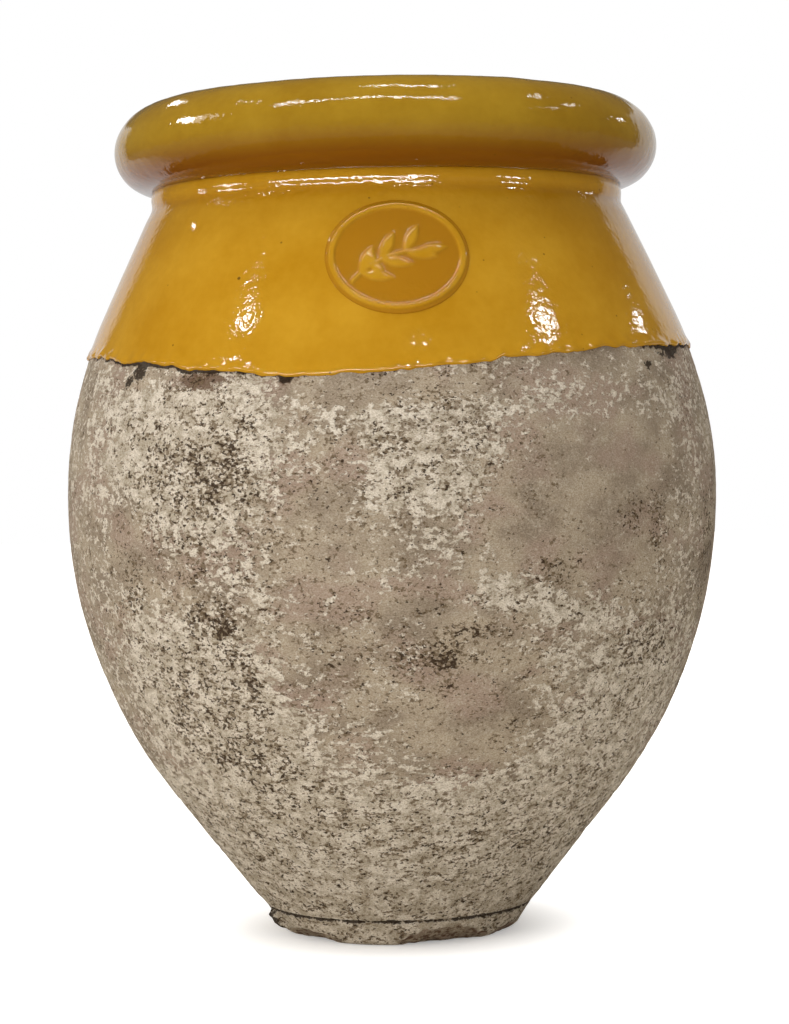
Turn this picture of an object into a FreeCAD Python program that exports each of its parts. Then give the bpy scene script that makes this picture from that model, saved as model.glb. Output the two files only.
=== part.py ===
"""Olive jar of fired clay with a glazed shoulder and rim.

A large jar is too tall to throw in one lift. A foot slab is cut, a coil of clay is pressed into its inner
corner, and three rings of wall, a collar and a rolled rim are luted on top of each other at bevelled seams.
An oval seal is sprigged on the shoulder, and two coats of glaze cover the shoulder and the rim.

The frame has +Z up, with the origin at the centre of the standing face. The seal faces -Y.
Lengths are in millimetres and angles in degrees.
"""

import FreeCAD, Part
import math
import os

# Foot slab
FOOT_RADIUS = 92.0
FOOT_BAND_RADIUS = 106.0
FOOT_BAND_HEIGHT = 21.0
FOOT_EDGE_ROUND = 6.0
FOOT_GROOVE_RADIUS = 1.8
FLOOR_COIL_LEG = 24.0

# Body, as heights of the foot, the belly and the neck above each other
LOWER_RISE = 322.0
LOWER_STRAIGHT = 90.0
BELLY_RADIUS = 256.0
UPPER_RISE = 228.0
UPPER_STRAIGHT = 88.0
WALL = 18.0

# Neck collar, with a thrown bead around its middle
NECK_RADIUS = 184.0
COLLAR_WALL = 24.0
COLLAR_MARGIN = 2.5
BEAD_HEIGHT = 9.0
BEAD_PROUD = 1.0

# Rolled rim, a tight roll outside that runs into a flatter crown at an angle above level
RIM_ROLL_RADIUS = 30.0
RIM_OVERHANG = 28.6
CROWN_RADIUS = 39.5
CROWN_ANGLE = 27.0

# Lute seams, as distances from the belly line
LOWER_SEAM_DROP = 150.0
UPPER_SEAM_RISE = 47.0
SEAM_BEVEL = 30.0

# Glaze
GLAZE_THICKNESS = 1.2
GLAZE_EDGE_RISE = 105.0

# Seal on the shoulder
SEAL_WIDTH = 104.0
SEAL_LENGTH = 92.0
SEAL_RISE = 174.0
SEAL_TURN = 2.0
SEAL_THICKNESS = 2.4
SEAL_RELIEF = 1.6
SEAL_RING_INSET = 3.0
SEAL_RING_WIDTH = 4.0

# Olive sprig in the seal
STEM_WIDTH = 2.6
STEM_LENGTH = 54.0
STEM_BOW = 6.0
STEM_TILT = 28.0
LEAF_LENGTH = 24.0
LEAF_WIDTH = 8.0
LEAF_SPREAD = 38.0
LEAF_PAIRS = 3
OLIVE_LENGTH = 11.0
OLIVE_WIDTH = 8.0

# Heights and radii that follow from these sizes
BELLY_HEIGHT = FOOT_BAND_HEIGHT + LOWER_RISE
NECK_HEIGHT = BELLY_HEIGHT + UPPER_RISE
COLLAR_HEIGHT = BEAD_HEIGHT + 2 * COLLAR_MARGIN
CREASE_HEIGHT = NECK_HEIGHT + COLLAR_HEIGHT
THROAT_RADIUS = NECK_RADIUS - COLLAR_WALL
RIM_CENTRE_RADIUS = NECK_RADIUS + RIM_OVERHANG - RIM_ROLL_RADIUS
RIM_CENTRE_HEIGHT = CREASE_HEIGHT + math.sqrt(RIM_ROLL_RADIUS**2 - (RIM_ROLL_RADIUS - RIM_OVERHANG) ** 2)
CROWN_SHIFT = CROWN_RADIUS - RIM_ROLL_RADIUS
CROWN_CENTRE_RADIUS = RIM_CENTRE_RADIUS - CROWN_SHIFT * math.cos(math.radians(CROWN_ANGLE))
CROWN_CENTRE_HEIGHT = RIM_CENTRE_HEIGHT - CROWN_SHIFT * math.sin(math.radians(CROWN_ANGLE))
RIM_HEIGHT = CROWN_CENTRE_HEIGHT + CROWN_RADIUS
LIP_RADIUS = CROWN_CENTRE_RADIUS - THROAT_RADIUS
BEAD_RADIUS = (BEAD_HEIGHT**2 / 4 + BEAD_PROUD**2) / (2 * BEAD_PROUD)

UP = FreeCAD.Vector(0, 0, 1)
ORIGIN = FreeCAD.Vector(0, 0, 0)


def at(radius, height):
    """A point of the profile, in the half plane that the potter's wheel turns."""
    return FreeCAD.Vector(radius, 0, height)


def line(start, end):
    return Part.LineSegment(start, end).toShape()


def arc(start, middle, end):
    return Part.Arc(start, middle, end).toShape()


def face_of(edges):
    """The flat face inside a closed loop of edges."""
    return Part.Face(Part.Wire(Part.__sortEdges__(edges)))


def polygon(points):
    return Part.Face(Part.makePolygon(points + points[:1]))


def turned(face):
    """The solid that a profile face makes in one full turn of the wheel."""
    return face.revolve(ORIGIN, UP, 360)


def lean_of(run, rise, straight):
    """Angle from upright of a straight stretch that runs tangent into an arc, which ends upright.

    The straight stretch takes up the first part of the rise, and the two together spread by run.
    """
    low, high = 0.0, math.pi / 2
    for _ in range(60):
        lean = (low + high) / 2
        spread = straight * math.tan(lean) + (rise - straight) * math.tan(lean / 2)
        low, high = (lean, high) if spread < run else (low, lean)
    return lean


LOWER_LEAN = lean_of(BELLY_RADIUS - FOOT_BAND_RADIUS, LOWER_RISE, LOWER_STRAIGHT)
UPPER_LEAN = lean_of(BELLY_RADIUS - NECK_RADIUS, UPPER_RISE, UPPER_STRAIGHT)
LOWER_SWELL = (LOWER_RISE - LOWER_STRAIGHT) / math.sin(LOWER_LEAN)
UPPER_SWELL = (UPPER_RISE - UPPER_STRAIGHT) / math.sin(UPPER_LEAN)


def swell_point(swell, angle, offset):
    """A point on the body's round stretch, at an angle above the belly line, moved out by offset."""
    reach = swell + offset
    return at(BELLY_RADIUS - swell + reach * math.cos(angle), BELLY_HEIGHT + reach * math.sin(angle))


def shoulder_height(radius, offset):
    """Height at which the straight part of the shoulder, moved out by offset, has this radius."""
    inward = NECK_RADIUS + offset / math.cos(UPPER_LEAN) - radius
    return NECK_HEIGHT + inward / math.tan(UPPER_LEAN)


def body_outline(offset, neck_radius):
    """Edges of the body from the foot band up to the neck, moved out by offset, and their two end points."""
    foot = at(FOOT_BAND_RADIUS + offset / math.cos(LOWER_LEAN), FOOT_BAND_HEIGHT)
    lower = swell_point(LOWER_SWELL, -LOWER_LEAN, offset)
    belly = at(BELLY_RADIUS + offset, BELLY_HEIGHT)
    upper = swell_point(UPPER_SWELL, UPPER_LEAN, offset)
    neck = at(neck_radius, shoulder_height(neck_radius, offset))
    edges = [
        line(foot, lower),
        arc(lower, swell_point(LOWER_SWELL, -LOWER_LEAN / 2, offset), belly),
        arc(belly, swell_point(UPPER_SWELL, UPPER_LEAN / 2, offset), upper),
        line(upper, neck),
    ]
    return edges, foot, neck


def crease_point(offset):
    """Where the collar meets the under side of the rim, both moved out by offset."""
    radius = NECK_RADIUS + offset
    drop = math.sqrt((RIM_ROLL_RADIUS + offset) ** 2 - (radius - RIM_CENTRE_RADIUS) ** 2)
    return at(radius, RIM_CENTRE_HEIGHT - drop)


def collar_outline(neck, offset):
    """Edges of the collar and its bead, from the neck up to the crease under the rim."""
    radius = NECK_RADIUS + offset
    middle = NECK_HEIGHT + COLLAR_HEIGHT / 2
    half = math.sqrt(2 * BEAD_PROUD * (BEAD_RADIUS + offset) - BEAD_PROUD**2)
    bead_foot = at(radius, middle - half)
    bead_top = at(radius, middle + half)
    return [
        line(neck, bead_foot),
        arc(bead_foot, at(radius + BEAD_PROUD, middle), bead_top),
        line(bead_top, crease_point(offset)),
    ]


def crown_point(angle, offset):
    """A point on the rim's crown, at an angle above level, moved out by offset."""
    reach = CROWN_RADIUS + offset
    turn = math.radians(angle)
    return at(CROWN_CENTRE_RADIUS + reach * math.cos(turn), CROWN_CENTRE_HEIGHT + reach * math.sin(turn))


def rim_outline(offset, throat_foot):
    """Edges of the rolled rim from the crease over the crown and down the throat, moved out by offset."""
    widest = at(RIM_CENTRE_RADIUS + RIM_ROLL_RADIUS + offset, RIM_CENTRE_HEIGHT)
    roll_end = crown_point(CROWN_ANGLE, offset)
    crown_middle = crown_point((CROWN_ANGLE + 90) / 2, offset)
    crown = crown_point(90, offset)
    lip_reach = LIP_RADIUS + offset
    lip_centre = at(CROWN_CENTRE_RADIUS, RIM_HEIGHT - LIP_RADIUS)
    lip_middle = lip_centre + at(-lip_reach, lip_reach) * math.sqrt(0.5)
    throat_top = lip_centre + at(-lip_reach, 0)
    return [
        arc(crease_point(offset), widest, roll_end),
        arc(roll_end, crown_middle, crown),
        arc(crown, lip_middle, throat_top),
        line(throat_top, at(THROAT_RADIUS - offset, throat_foot)),
    ]


def body_radius(height):
    """Outer radius of the clay body at a height."""
    rise = height - BELLY_HEIGHT
    if rise > UPPER_SWELL * math.sin(UPPER_LEAN):
        return NECK_RADIUS + (NECK_HEIGHT - height) * math.tan(UPPER_LEAN)
    if rise < -LOWER_SWELL * math.sin(LOWER_LEAN):
        return FOOT_BAND_RADIUS + (height - FOOT_BAND_HEIGHT) * math.tan(LOWER_LEAN)
    swell = UPPER_SWELL if rise > 0 else LOWER_SWELL
    return BELLY_RADIUS - swell + math.sqrt(swell**2 - rise**2)


def seam_height(outer, radius):
    """Height of the bevelled seam that starts at a point of the outer wall and rises towards the inside."""
    return outer.z + (outer.x - radius) * math.tan(math.radians(SEAM_BEVEL))


def band_between(low, high):
    """The profile's region between two seams, each given by its point on the outer wall."""
    far = BELLY_RADIUS + RIM_ROLL_RADIUS
    corners = [(low, 0), (low, far), (high, far), (high, 0)]
    return polygon([at(radius, seam_height(outer, radius)) for outer, radius in corners])


def clay_profile():
    """The whole clay wall above the foot slab, as one profile face."""
    outside, foot, neck = body_outline(0, NECK_RADIUS)
    inside, floor_corner, throat = body_outline(-WALL, THROAT_RADIUS)
    edges = outside + collar_outline(neck, 0) + rim_outline(0, throat.z) + inside
    return face_of(edges + [line(floor_corner, foot)])


def clay_rings():
    """The luted rings of the clay wall, from the foot up, each cut from the profile between two seams."""
    wall = clay_profile()
    lower_seam = BELLY_HEIGHT - LOWER_SEAM_DROP
    upper_seam = BELLY_HEIGHT + UPPER_SEAM_RISE
    seams = [
        at(FOOT_BAND_RADIUS, -BELLY_HEIGHT),
        at(body_radius(lower_seam), lower_seam),
        at(body_radius(upper_seam), upper_seam),
        at(NECK_RADIUS, NECK_HEIGHT),
        crease_point(0),
        at(NECK_RADIUS, RIM_HEIGHT + BELLY_HEIGHT),
    ]
    names = ["lower_wall", "belly_wall", "shoulder_wall", "neck_collar", "rim_roll"]
    rings = {}
    for name, low, high in zip(names, seams, seams[1:]):
        rings[name] = turned(wall.common(band_between(low, high)).Faces[0])
    return rings


def foot_slab():
    """The cut slab that the jar stands on, with its standing edge rounded off."""
    section = polygon(
        [at(0, 0), at(FOOT_RADIUS, 0), at(FOOT_BAND_RADIUS, FOOT_BAND_HEIGHT), at(0, FOOT_BAND_HEIGHT)]
    )
    slab = turned(section)
    standing_edges = [e for e in slab.Edges if e.BoundBox.ZMax < FOOT_EDGE_ROUND / 2 and e.isClosed()]
    return slab.makeFillet(FOOT_EDGE_ROUND, standing_edges)


def foot_groove():
    """The line scored around the seam between the foot slab and the wall."""
    return Part.makeTorus(FOOT_BAND_RADIUS, FOOT_GROOVE_RADIUS, at(0, FOOT_BAND_HEIGHT), UP)


def floor_coil():
    """The coil that is pressed into the corner between the floor and the wall and smoothed to a hollow."""
    _, corner, _ = body_outline(-WALL, THROAT_RADIUS)
    on_floor = corner + at(-FLOOR_COIL_LEG, 0)
    on_wall = corner + at(math.sin(LOWER_LEAN), math.cos(LOWER_LEAN)) * FLOOR_COIL_LEG
    hollow = FLOOR_COIL_LEG * math.tan(math.pi / 4 + LOWER_LEAN / 2)
    centre = on_floor + at(0, hollow)
    to_corner = corner - centre
    middle = centre + to_corner * (hollow / to_corner.Length)
    return turned(face_of([line(corner, on_floor), arc(on_floor, middle, on_wall), line(on_wall, corner)]))


def shoulder_glaze():
    """The coat on the shoulder and collar, from its lower edge up to the crease under the rim."""
    clay, clay_foot, clay_neck = body_outline(0, NECK_RADIUS)
    coat, coat_foot, coat_neck = body_outline(GLAZE_THICKNESS, NECK_RADIUS + GLAZE_THICKNESS)
    edges = clay + collar_outline(clay_neck, 0) + coat + collar_outline(coat_neck, GLAZE_THICKNESS)
    edges += [line(clay_foot, coat_foot), line(crease_point(0), crease_point(GLAZE_THICKNESS))]
    edge = BELLY_HEIGHT + GLAZE_EDGE_RISE
    far = BELLY_RADIUS + WALL
    above_edge = polygon([at(0, edge), at(far, edge), at(far, RIM_HEIGHT), at(0, RIM_HEIGHT)])
    return turned(face_of(edges).common(above_edge).Faces[0])


def rim_glaze():
    """The coat over the rolled rim, from the crease over the crown to the foot of the throat."""
    throat_foot = shoulder_height(THROAT_RADIUS, -WALL)
    edges = rim_outline(0, throat_foot) + rim_outline(GLAZE_THICKNESS, throat_foot)
    edges.append(line(crease_point(0), crease_point(GLAZE_THICKNESS)))
    edges.append(line(at(THROAT_RADIUS, throat_foot), at(THROAT_RADIUS - GLAZE_THICKNESS, throat_foot)))
    return turned(face_of(edges))


def shell_between(inner, outer):
    """The skin of the body between two distances from the clay's outside."""
    near, near_foot, near_neck = body_outline(inner, NECK_RADIUS)
    away, away_foot, away_neck = body_outline(outer, NECK_RADIUS)
    return turned(face_of(near + away + [line(near_foot, away_foot), line(near_neck, away_neck)]))


def seal_placement():
    """The seal's own frame: X along the wall, Y up the slope and Z straight out of the shoulder."""
    height = BELLY_HEIGHT + SEAL_RISE
    radius = body_radius(height)
    lean = UPPER_LEAN
    if radius > swell_point(UPPER_SWELL, UPPER_LEAN, 0).x:
        lean = math.asin(SEAL_RISE / UPPER_SWELL)
    turn = math.radians(SEAL_TURN)
    away = FreeCAD.Vector(math.sin(turn), -math.cos(turn), 0)
    along = FreeCAD.Vector(math.cos(turn), math.sin(turn), 0)
    out = away * math.cos(lean) + UP * math.sin(lean)
    rotation = FreeCAD.Rotation(along, out.cross(along), out, "ZXY")
    return FreeCAD.Placement(away * radius + UP * height, rotation)


def prism(face):
    """A flat shape of the seal, drawn out through the shoulder so that curved skins can be cut from it."""
    reach = SEAL_WIDTH / 4
    face.translate(UP * -reach)
    solid = face.extrude(UP * (2 * reach))
    solid.Placement = seal_placement()
    return solid


def oval(length, width):
    """A flat oval with its long axis along X."""
    longer, shorter = max(length, width), min(length, width)
    shape = Part.Face(Part.Wire(Part.Ellipse(ORIGIN, longer / 2, shorter / 2).toShape()))
    if width > length:
        shape.rotate(ORIGIN, UP, 90)
    return shape


def leaf():
    """A flat pointed leaf with its stalk at the origin and its tip along X."""
    tip = FreeCAD.Vector(LEAF_LENGTH, 0, 0)
    sides = [FreeCAD.Vector(LEAF_LENGTH / 2, side * LEAF_WIDTH / 2, 0) for side in (1, -1)]
    return face_of([arc(ORIGIN, side, tip) for side in sides])


def stem_point(share, aside):
    """A point of the bowed stem, a share of its length from the middle and a distance aside."""
    bow = STEM_BOW * (1 - 4 * share**2)
    return FreeCAD.Vector(share * STEM_LENGTH, bow - STEM_BOW / 2 + aside, 0)


def placed(face, where, turn):
    face.rotate(ORIGIN, UP, turn)
    face.translate(where)
    return face


def sprig():
    """The flat shapes of the olive sprig: a bowed stem, leaves in pairs with one at the tip, and olives."""
    half = STEM_WIDTH / 2
    near, far = [[stem_point(share, aside) for share in (-0.5, 0, 0.5)] for aside in (-half, half)]
    stem = face_of([arc(*near), arc(*far), line(near[0], far[0]), line(near[2], far[2])])
    shapes = [stem, placed(leaf(), stem_point(0.5, 0) - FreeCAD.Vector(STEM_WIDTH, 0, 0), -LEAF_SPREAD / 2)]
    for pair in range(LEAF_PAIRS):
        share = (pair + 0.5) / LEAF_PAIRS - 0.5
        for side in (1, -1):
            shapes.append(placed(leaf(), stem_point(share, 0), side * LEAF_SPREAD))
            if pair % 2:
                aside = side * (half + OLIVE_WIDTH / 2)
                shapes.append(placed(oval(OLIVE_LENGTH, OLIVE_WIDTH), stem_point(share - 0.1, aside), 90))
    for shape in shapes:
        shape.translate(FreeCAD.Vector(-LEAF_LENGTH / 2, 0, 0))
        shape.rotate(ORIGIN, UP, STEM_TILT)
    return shapes


def seal_oval(inset):
    """The seal's flat oval, drawn in by inset all round."""
    return oval(SEAL_WIDTH - 2 * inset, SEAL_LENGTH - 2 * inset)


def seal_ground():
    """The flat shapes around the seal's ring and its sprig, which lie lower than these."""
    moat = seal_oval(-SEAL_RING_WIDTH).cut(seal_oval(SEAL_RING_INSET))
    field = seal_oval(SEAL_RING_INSET + SEAL_RING_WIDTH).cut(sprig())
    return moat.Faces + field.Faces


def seal_pad():
    """The oval pad on the shoulder, with a ring and an olive sprig left standing out of its ground."""
    pad = prism(seal_oval(0)).common(shell_between(0, SEAL_THICKNESS + SEAL_RELIEF))
    skin = shell_between(SEAL_THICKNESS, SEAL_THICKNESS + 2 * SEAL_RELIEF)
    return pad.cut([prism(face).common(skin) for face in seal_ground()])


def jar():
    """Every piece of the jar by name."""
    pieces = {"foot_slab": foot_slab().cut(foot_groove()), "floor_coil": floor_coil()}
    pieces.update(clay_rings())
    pieces["lower_wall"] = pieces["lower_wall"].cut(foot_groove())
    pieces["seal_pad"] = seal_pad()
    pieces["shoulder_glaze"] = shoulder_glaze().cut(prism(seal_oval(0)))
    pieces["rim_glaze"] = rim_glaze()
    return pieces


os.makedirs("parts", exist_ok=True)
for name, shape in jar().items():
    shape.exportStep(f"parts/{name}.step")
    print(f"{name}: {len(shape.Solids)} solid, {shape.Volume / 1000:.1f} cm3, valid {shape.isValid()}")
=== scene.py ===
"""Looks of a glazed olive jar of fired clay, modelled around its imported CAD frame.

Lengths are in metres and bearings in degrees. The frame has +Z up, with the origin at the centre of the
standing face. A bearing is the angle around the jar from the front, which is -Y, and grows towards +X.
"""

import logging
import math
from dataclasses import dataclass
from enum import Enum
from functools import cached_property
from typing import Any, Iterable

import bpy
import numpy as np
from mathutils import Euler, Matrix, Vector, noise


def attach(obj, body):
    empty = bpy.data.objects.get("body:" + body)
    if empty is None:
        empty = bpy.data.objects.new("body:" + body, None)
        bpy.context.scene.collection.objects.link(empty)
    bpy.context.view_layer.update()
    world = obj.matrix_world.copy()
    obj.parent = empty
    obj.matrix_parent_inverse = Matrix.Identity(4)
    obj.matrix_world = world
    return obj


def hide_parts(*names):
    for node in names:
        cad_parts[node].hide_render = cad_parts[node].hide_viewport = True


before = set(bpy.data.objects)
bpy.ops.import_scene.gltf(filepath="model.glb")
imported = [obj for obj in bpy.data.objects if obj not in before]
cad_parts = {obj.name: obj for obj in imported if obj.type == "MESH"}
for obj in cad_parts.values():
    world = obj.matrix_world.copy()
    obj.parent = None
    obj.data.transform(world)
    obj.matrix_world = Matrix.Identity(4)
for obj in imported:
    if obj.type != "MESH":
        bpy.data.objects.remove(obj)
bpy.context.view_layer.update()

log = logging.getLogger("olive_jar")

MM = 0.001
MERGE = 1e-6
ZONE_LEVELS = 32
BODY = "root"
RING_NODES = ("lower_wall", "belly_wall", "shoulder_wall")
CLAY_NODES = ("neck_collar", "rim_roll")
JAR_MIDDLE = (0.0, 0.0, 0.40)
SLOPE = ("glaze_shoulder",)
RIM = ("glaze_rim",)
RIM_AND_SEAL = ("glaze_rim", "glazed_seal")
WHITE = (1.0, 1.0, 1.0, 1.0)
LAMP_DISTANCE = 2.46

Array = np.ndarray
Material = bpy.types.Material
Outline = np.ndarray
Pair = tuple[float, float]
Piece = bpy.types.Object
Socket = bpy.types.NodeSocket


class Slot(Enum):
    """Material slots."""

    LIMEWASH = "limewashed_clay"
    CLAY = "raw_clay"
    GLAZE = "yellow_glaze"


class Mark(Enum):
    """Values kept on the points of a mesh, which its finish reads."""

    LIME = "lime"
    GRIME = "grime"
    RUST = "rust"
    # Stains, and also the painted shadow under the glaze's lip and the darker line in the groove.
    STAIN = "stain_and_shadow"
    DAMP = "damp"
    CRUST = "crust"
    # Darker glaze where it pools, and painted shade under the rim and in the collar's crease and hollow.
    POOL = "pool_and_shade"
    SHINE = "shine"


class Reach(Enum):
    """What a lamp is for: lighting matt colour, or showing as a glint in the glaze."""

    SOFT = "soft"
    GLINT = "glint"


def linear(hex_colour: str) -> tuple[float, ...]:
    """Turns an sRGB hex value into a linear colour.

    Args:
        hex_colour: The colour as "#RRGGBB".

    Returns:
        Red, green, blue and an alpha of 1.
    """
    shares = [int(hex_colour[start:start + 2], 16) / 255 for start in (1, 3, 5)]
    return (*[s / 12.92 if s <= 0.04045 else ((s + 0.055) / 1.055) ** 2.4 for s in shares], 1.0)


def add_node(tree: bpy.types.NodeTree, kind: str, feeds: dict[Any, Any] | None = None, out: Any = 0,
             **settings: Any) -> Socket | None:
    """Adds a node with its settings and links.

    Args:
        tree: Node tree that gets the node.
        kind: Type name of the node.
        feeds: Input name or number, with the number, colour or socket that goes in there.
        out: Name or number of the output to hand back.
        settings: Properties of the node.

    Returns:
        The chosen output, or nothing for a node that has none.
    """
    made = tree.nodes.new(kind)
    for name, value in settings.items():
        setattr(made, name, value)
    for name, value in (feeds or {}).items():
        if isinstance(value, bpy.types.NodeSocket):
            tree.links.new(value, made.inputs[name])
        else:
            made.inputs[name].default_value = value
    return made.outputs[out] if made.outputs else None


def new_material(name: str) -> tuple[Material, bpy.types.NodeTree]:
    """Starts an empty node material.

    Args:
        name: Name of the material.

    Returns:
        The material and its node tree.
    """
    material = bpy.data.materials.new(name)
    material.use_nodes = True
    material.node_tree.nodes.clear()
    return material, material.node_tree


def evenly(outline: Outline, step: float) -> Outline:
    """Places points at equal steps along a densely drawn outline, with both ends kept.

    Args:
        outline: Points as rows of radius and height.
        step: Distance between the new points.

    Returns:
        The new points.
    """
    lengths = np.hypot(*np.diff(outline, axis=0).T)
    along = np.concatenate([[0.0], np.cumsum(lengths)])
    marks = np.linspace(0.0, along[-1], max(1, round(along[-1] / step)) + 1)
    return np.column_stack([np.interp(marks, along, outline[:, axis]) for axis in (0, 1)])


def stitched(*outlines: Outline) -> Outline:
    """Joins outlines end to end and drops the points that two of them share.

    Args:
        outlines: The outlines in order.

    Returns:
        The joined points.
    """
    joined = np.concatenate([np.atleast_2d(outline) for outline in outlines])
    gaps = np.hypot(*np.diff(joined, axis=0).T)
    return joined[np.concatenate([[True], gaps > 10 * MERGE])]


def arc(centre: Pair, reach: float, start: float, end: float, count: int = 60) -> Outline:
    """Draws a round stretch of an outline.

    Args:
        centre: Radius and height of the arc's centre.
        reach: Radius of the arc.
        start: First angle in degrees, from outwards, growing upwards.
        end: Last angle in degrees.
        count: Number of points.

    Returns:
        The points of the arc.
    """
    angles = np.radians(np.linspace(start, end, count))
    return np.column_stack([centre[0] + reach * np.cos(angles), centre[1] + reach * np.sin(angles)])


def points_of(piece: Piece) -> Array:
    """Reads the places of a mesh's points, as rows of X, Y and Z.

    Args:
        piece: The piece.

    Returns:
        One row for each point.
    """
    flat = np.empty(len(piece.data.vertices) * 3)
    piece.data.vertices.foreach_get("co", flat)
    return flat.reshape(-1, 3)


def centres_of(piece: Piece) -> Array:
    """Reads the middles of a mesh's faces, as rows of X, Y and Z.

    Args:
        piece: The piece.

    Returns:
        One row for each face.
    """
    flat = np.empty(len(piece.data.polygons) * 3)
    piece.data.polygons.foreach_get("center", flat)
    return flat.reshape(-1, 3)


def put_points(piece: Piece, points: Array) -> None:
    """Writes the places of a mesh's points."""
    piece.data.vertices.foreach_set("co", points.ravel())
    piece.data.update()


def around(points: Array) -> tuple[Array, Array, Array]:
    """Bearing in degrees, radius and height of points."""
    bearing = np.degrees(np.arctan2(points[:, 0], -points[:, 1]))
    return bearing, np.hypot(points[:, 0], points[:, 1]), points[:, 2]


def from_around(bearing: Array, radius: Array | float, height: Array | float) -> Array:
    """Points as rows of X, Y and Z from their bearing in degrees, radius and height."""
    turn = np.radians(bearing)
    return np.column_stack([radius * np.sin(turn), -radius * np.cos(turn), np.full_like(turn, height)])


def pointing(bearing: float, elevation: float) -> tuple[float, float, float]:
    """Direction of length 1 from a bearing and an elevation in degrees."""
    turn, tilt = math.radians(bearing), math.radians(elevation)
    return math.sin(turn) * math.cos(tilt), -math.cos(turn) * math.cos(tilt), math.sin(tilt)


def degrees_aside(bearing: Array, middle: float) -> Array:
    """Degrees from a middle bearing to others, by the shorter way round."""
    return (bearing - middle + 180) % 360 - 180


def fade(value: Array, start: float, end: float) -> Array:
    """Rises smoothly from 0 at start to 1 at end."""
    share = np.clip((value - start) / (end - start), 0.0, 1.0)
    return share * share * (3 - 2 * share)


def bell(value: Array, middle: float, spread: float) -> Array:
    """Falls from 1 at the middle, along a bell curve, to about a third at the spread."""
    return np.exp(-(((value - middle) / spread) ** 2))


def lumps(places: Array, size: float) -> Array:
    """Smooth noise from -1 to 1 at places, with lumps of a size."""
    return np.array([noise.noise(Vector(place) / size) for place in places])


def pick(piece: Piece) -> None:
    """Leaves edit mode and makes a piece the one selected object.

    Args:
        piece: The piece.
    """
    if bpy.context.object and bpy.context.object.mode != "OBJECT":
        bpy.ops.object.mode_set(mode="OBJECT")
    bpy.ops.object.select_all(action="DESELECT")
    piece.select_set(True)
    bpy.context.view_layer.objects.active = piece


def open_mesh(piece: Piece, chosen: Array | None = None, kind: str = "VERT") -> None:
    """Opens a piece in edit mode.

    Args:
        piece: The piece.
        chosen: True for each point or face that is to be selected. Without it everything is.
        kind: "VERT" to choose points or "FACE" to choose faces.
    """
    pick(piece)
    bpy.ops.object.mode_set(mode="EDIT")
    bpy.ops.mesh.select_mode(type=kind)
    bpy.ops.mesh.select_all(action="SELECT" if chosen is None else "DESELECT")
    if chosen is not None:
        bpy.ops.object.mode_set(mode="OBJECT")
        elements = piece.data.vertices if kind == "VERT" else piece.data.polygons
        elements.foreach_set("select", chosen)
        bpy.ops.object.mode_set(mode="EDIT")


def close_mesh() -> None:
    """Goes back to object mode."""
    bpy.ops.object.mode_set(mode="OBJECT")


def face_out(piece: Piece) -> None:
    """Points all faces of a piece outwards.

    Args:
        piece: The piece.
    """
    open_mesh(piece)
    bpy.ops.mesh.normals_make_consistent(inside=False)
    close_mesh()


def modify(piece: Piece, kind: str, **settings: Any) -> None:
    """Gives a piece a modifier and applies it.

    Args:
        piece: The piece.
        kind: Type name of the modifier.
        settings: Properties of the modifier.
    """
    pick(piece)
    bpy.ops.object.modifier_add(type=kind)
    modifier = piece.modifiers[-1]
    for name, value in settings.items():
        setattr(modifier, name, value)
    bpy.ops.object.modifier_apply(modifier=modifier.name)


def draw_line(name: str, points: Iterable[tuple[float, float, float]]) -> Piece:
    """Draws a line by extruding one point from place to place, and stays in edit mode.

    Args:
        name: Name of the new piece.
        points: Places of the line.

    Returns:
        The piece, with its line as loose edges.
    """
    places = [Vector(point) for point in points]
    bpy.ops.object.select_all(action="DESELECT")
    bpy.ops.mesh.primitive_plane_add(location=(0, 0, 0))
    piece = bpy.context.object
    piece.name = piece.data.name = name
    bpy.ops.object.mode_set(mode="EDIT")
    bpy.ops.mesh.select_mode(type="VERT")
    bpy.ops.mesh.select_all(action="SELECT")
    bpy.ops.mesh.merge(type="CENTER")
    bpy.ops.transform.translate(value=places[0])
    for here, there in zip(places, places[1:]):
        bpy.ops.mesh.extrude_region_move(TRANSFORM_OT_translate={"value": there - here})
    bpy.ops.mesh.select_all(action="SELECT")
    bpy.ops.mesh.remove_doubles(threshold=MERGE)
    return piece


def throw(name: str, outline: Outline, steps: int) -> Piece:
    """Turns a closed section around the jar's axis, as on a wheel.

    Args:
        name: Name of the new piece.
        outline: The section's points as rows of radius and height, from an end back to it or axis to axis.
        steps: Number of sides around.

    Returns:
        The closed piece, with its faces pointing outwards.
    """
    piece = draw_line(name, [(radius, 0.0, height) for radius, height in outline])
    modify(piece, "SCREW", axis="Z", steps=steps, render_steps=steps, use_merge_vertices=True,
           merge_threshold=MERGE)
    face_out(piece)
    return piece


def paint_zone(piece: Piece, name: str, weights: Array) -> str:
    """Paints a vertex group.

    Args:
        piece: The piece.
        name: Name of the group.
        weights: Weight of each point, from 0 to 1.

    Returns:
        The group's name.
    """
    group = piece.vertex_groups.new(name=name)
    levels = np.round(np.clip(weights.astype(float), 0, 1) * ZONE_LEVELS).astype(int)
    for level in np.unique(levels[levels > 0]):
        group.add(np.flatnonzero(levels == level).tolist(), level / ZONE_LEVELS, "REPLACE")
    return group.name


def keep_mark(piece: Piece, mark: Mark, values: Array) -> None:
    """Keeps a value on each point of a mesh for its finish."""
    layer = piece.data.attributes.new(mark.value, "FLOAT", "POINT")
    layer.data.foreach_set("value", values.astype(np.float32))


def smooth(piece: Piece, angle: float = 50.0) -> None:
    """Shades a piece smooth, apart from edges that turn by more than an angle in degrees."""
    pick(piece)
    bpy.ops.object.shade_smooth_by_angle(angle=math.radians(angle))


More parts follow.
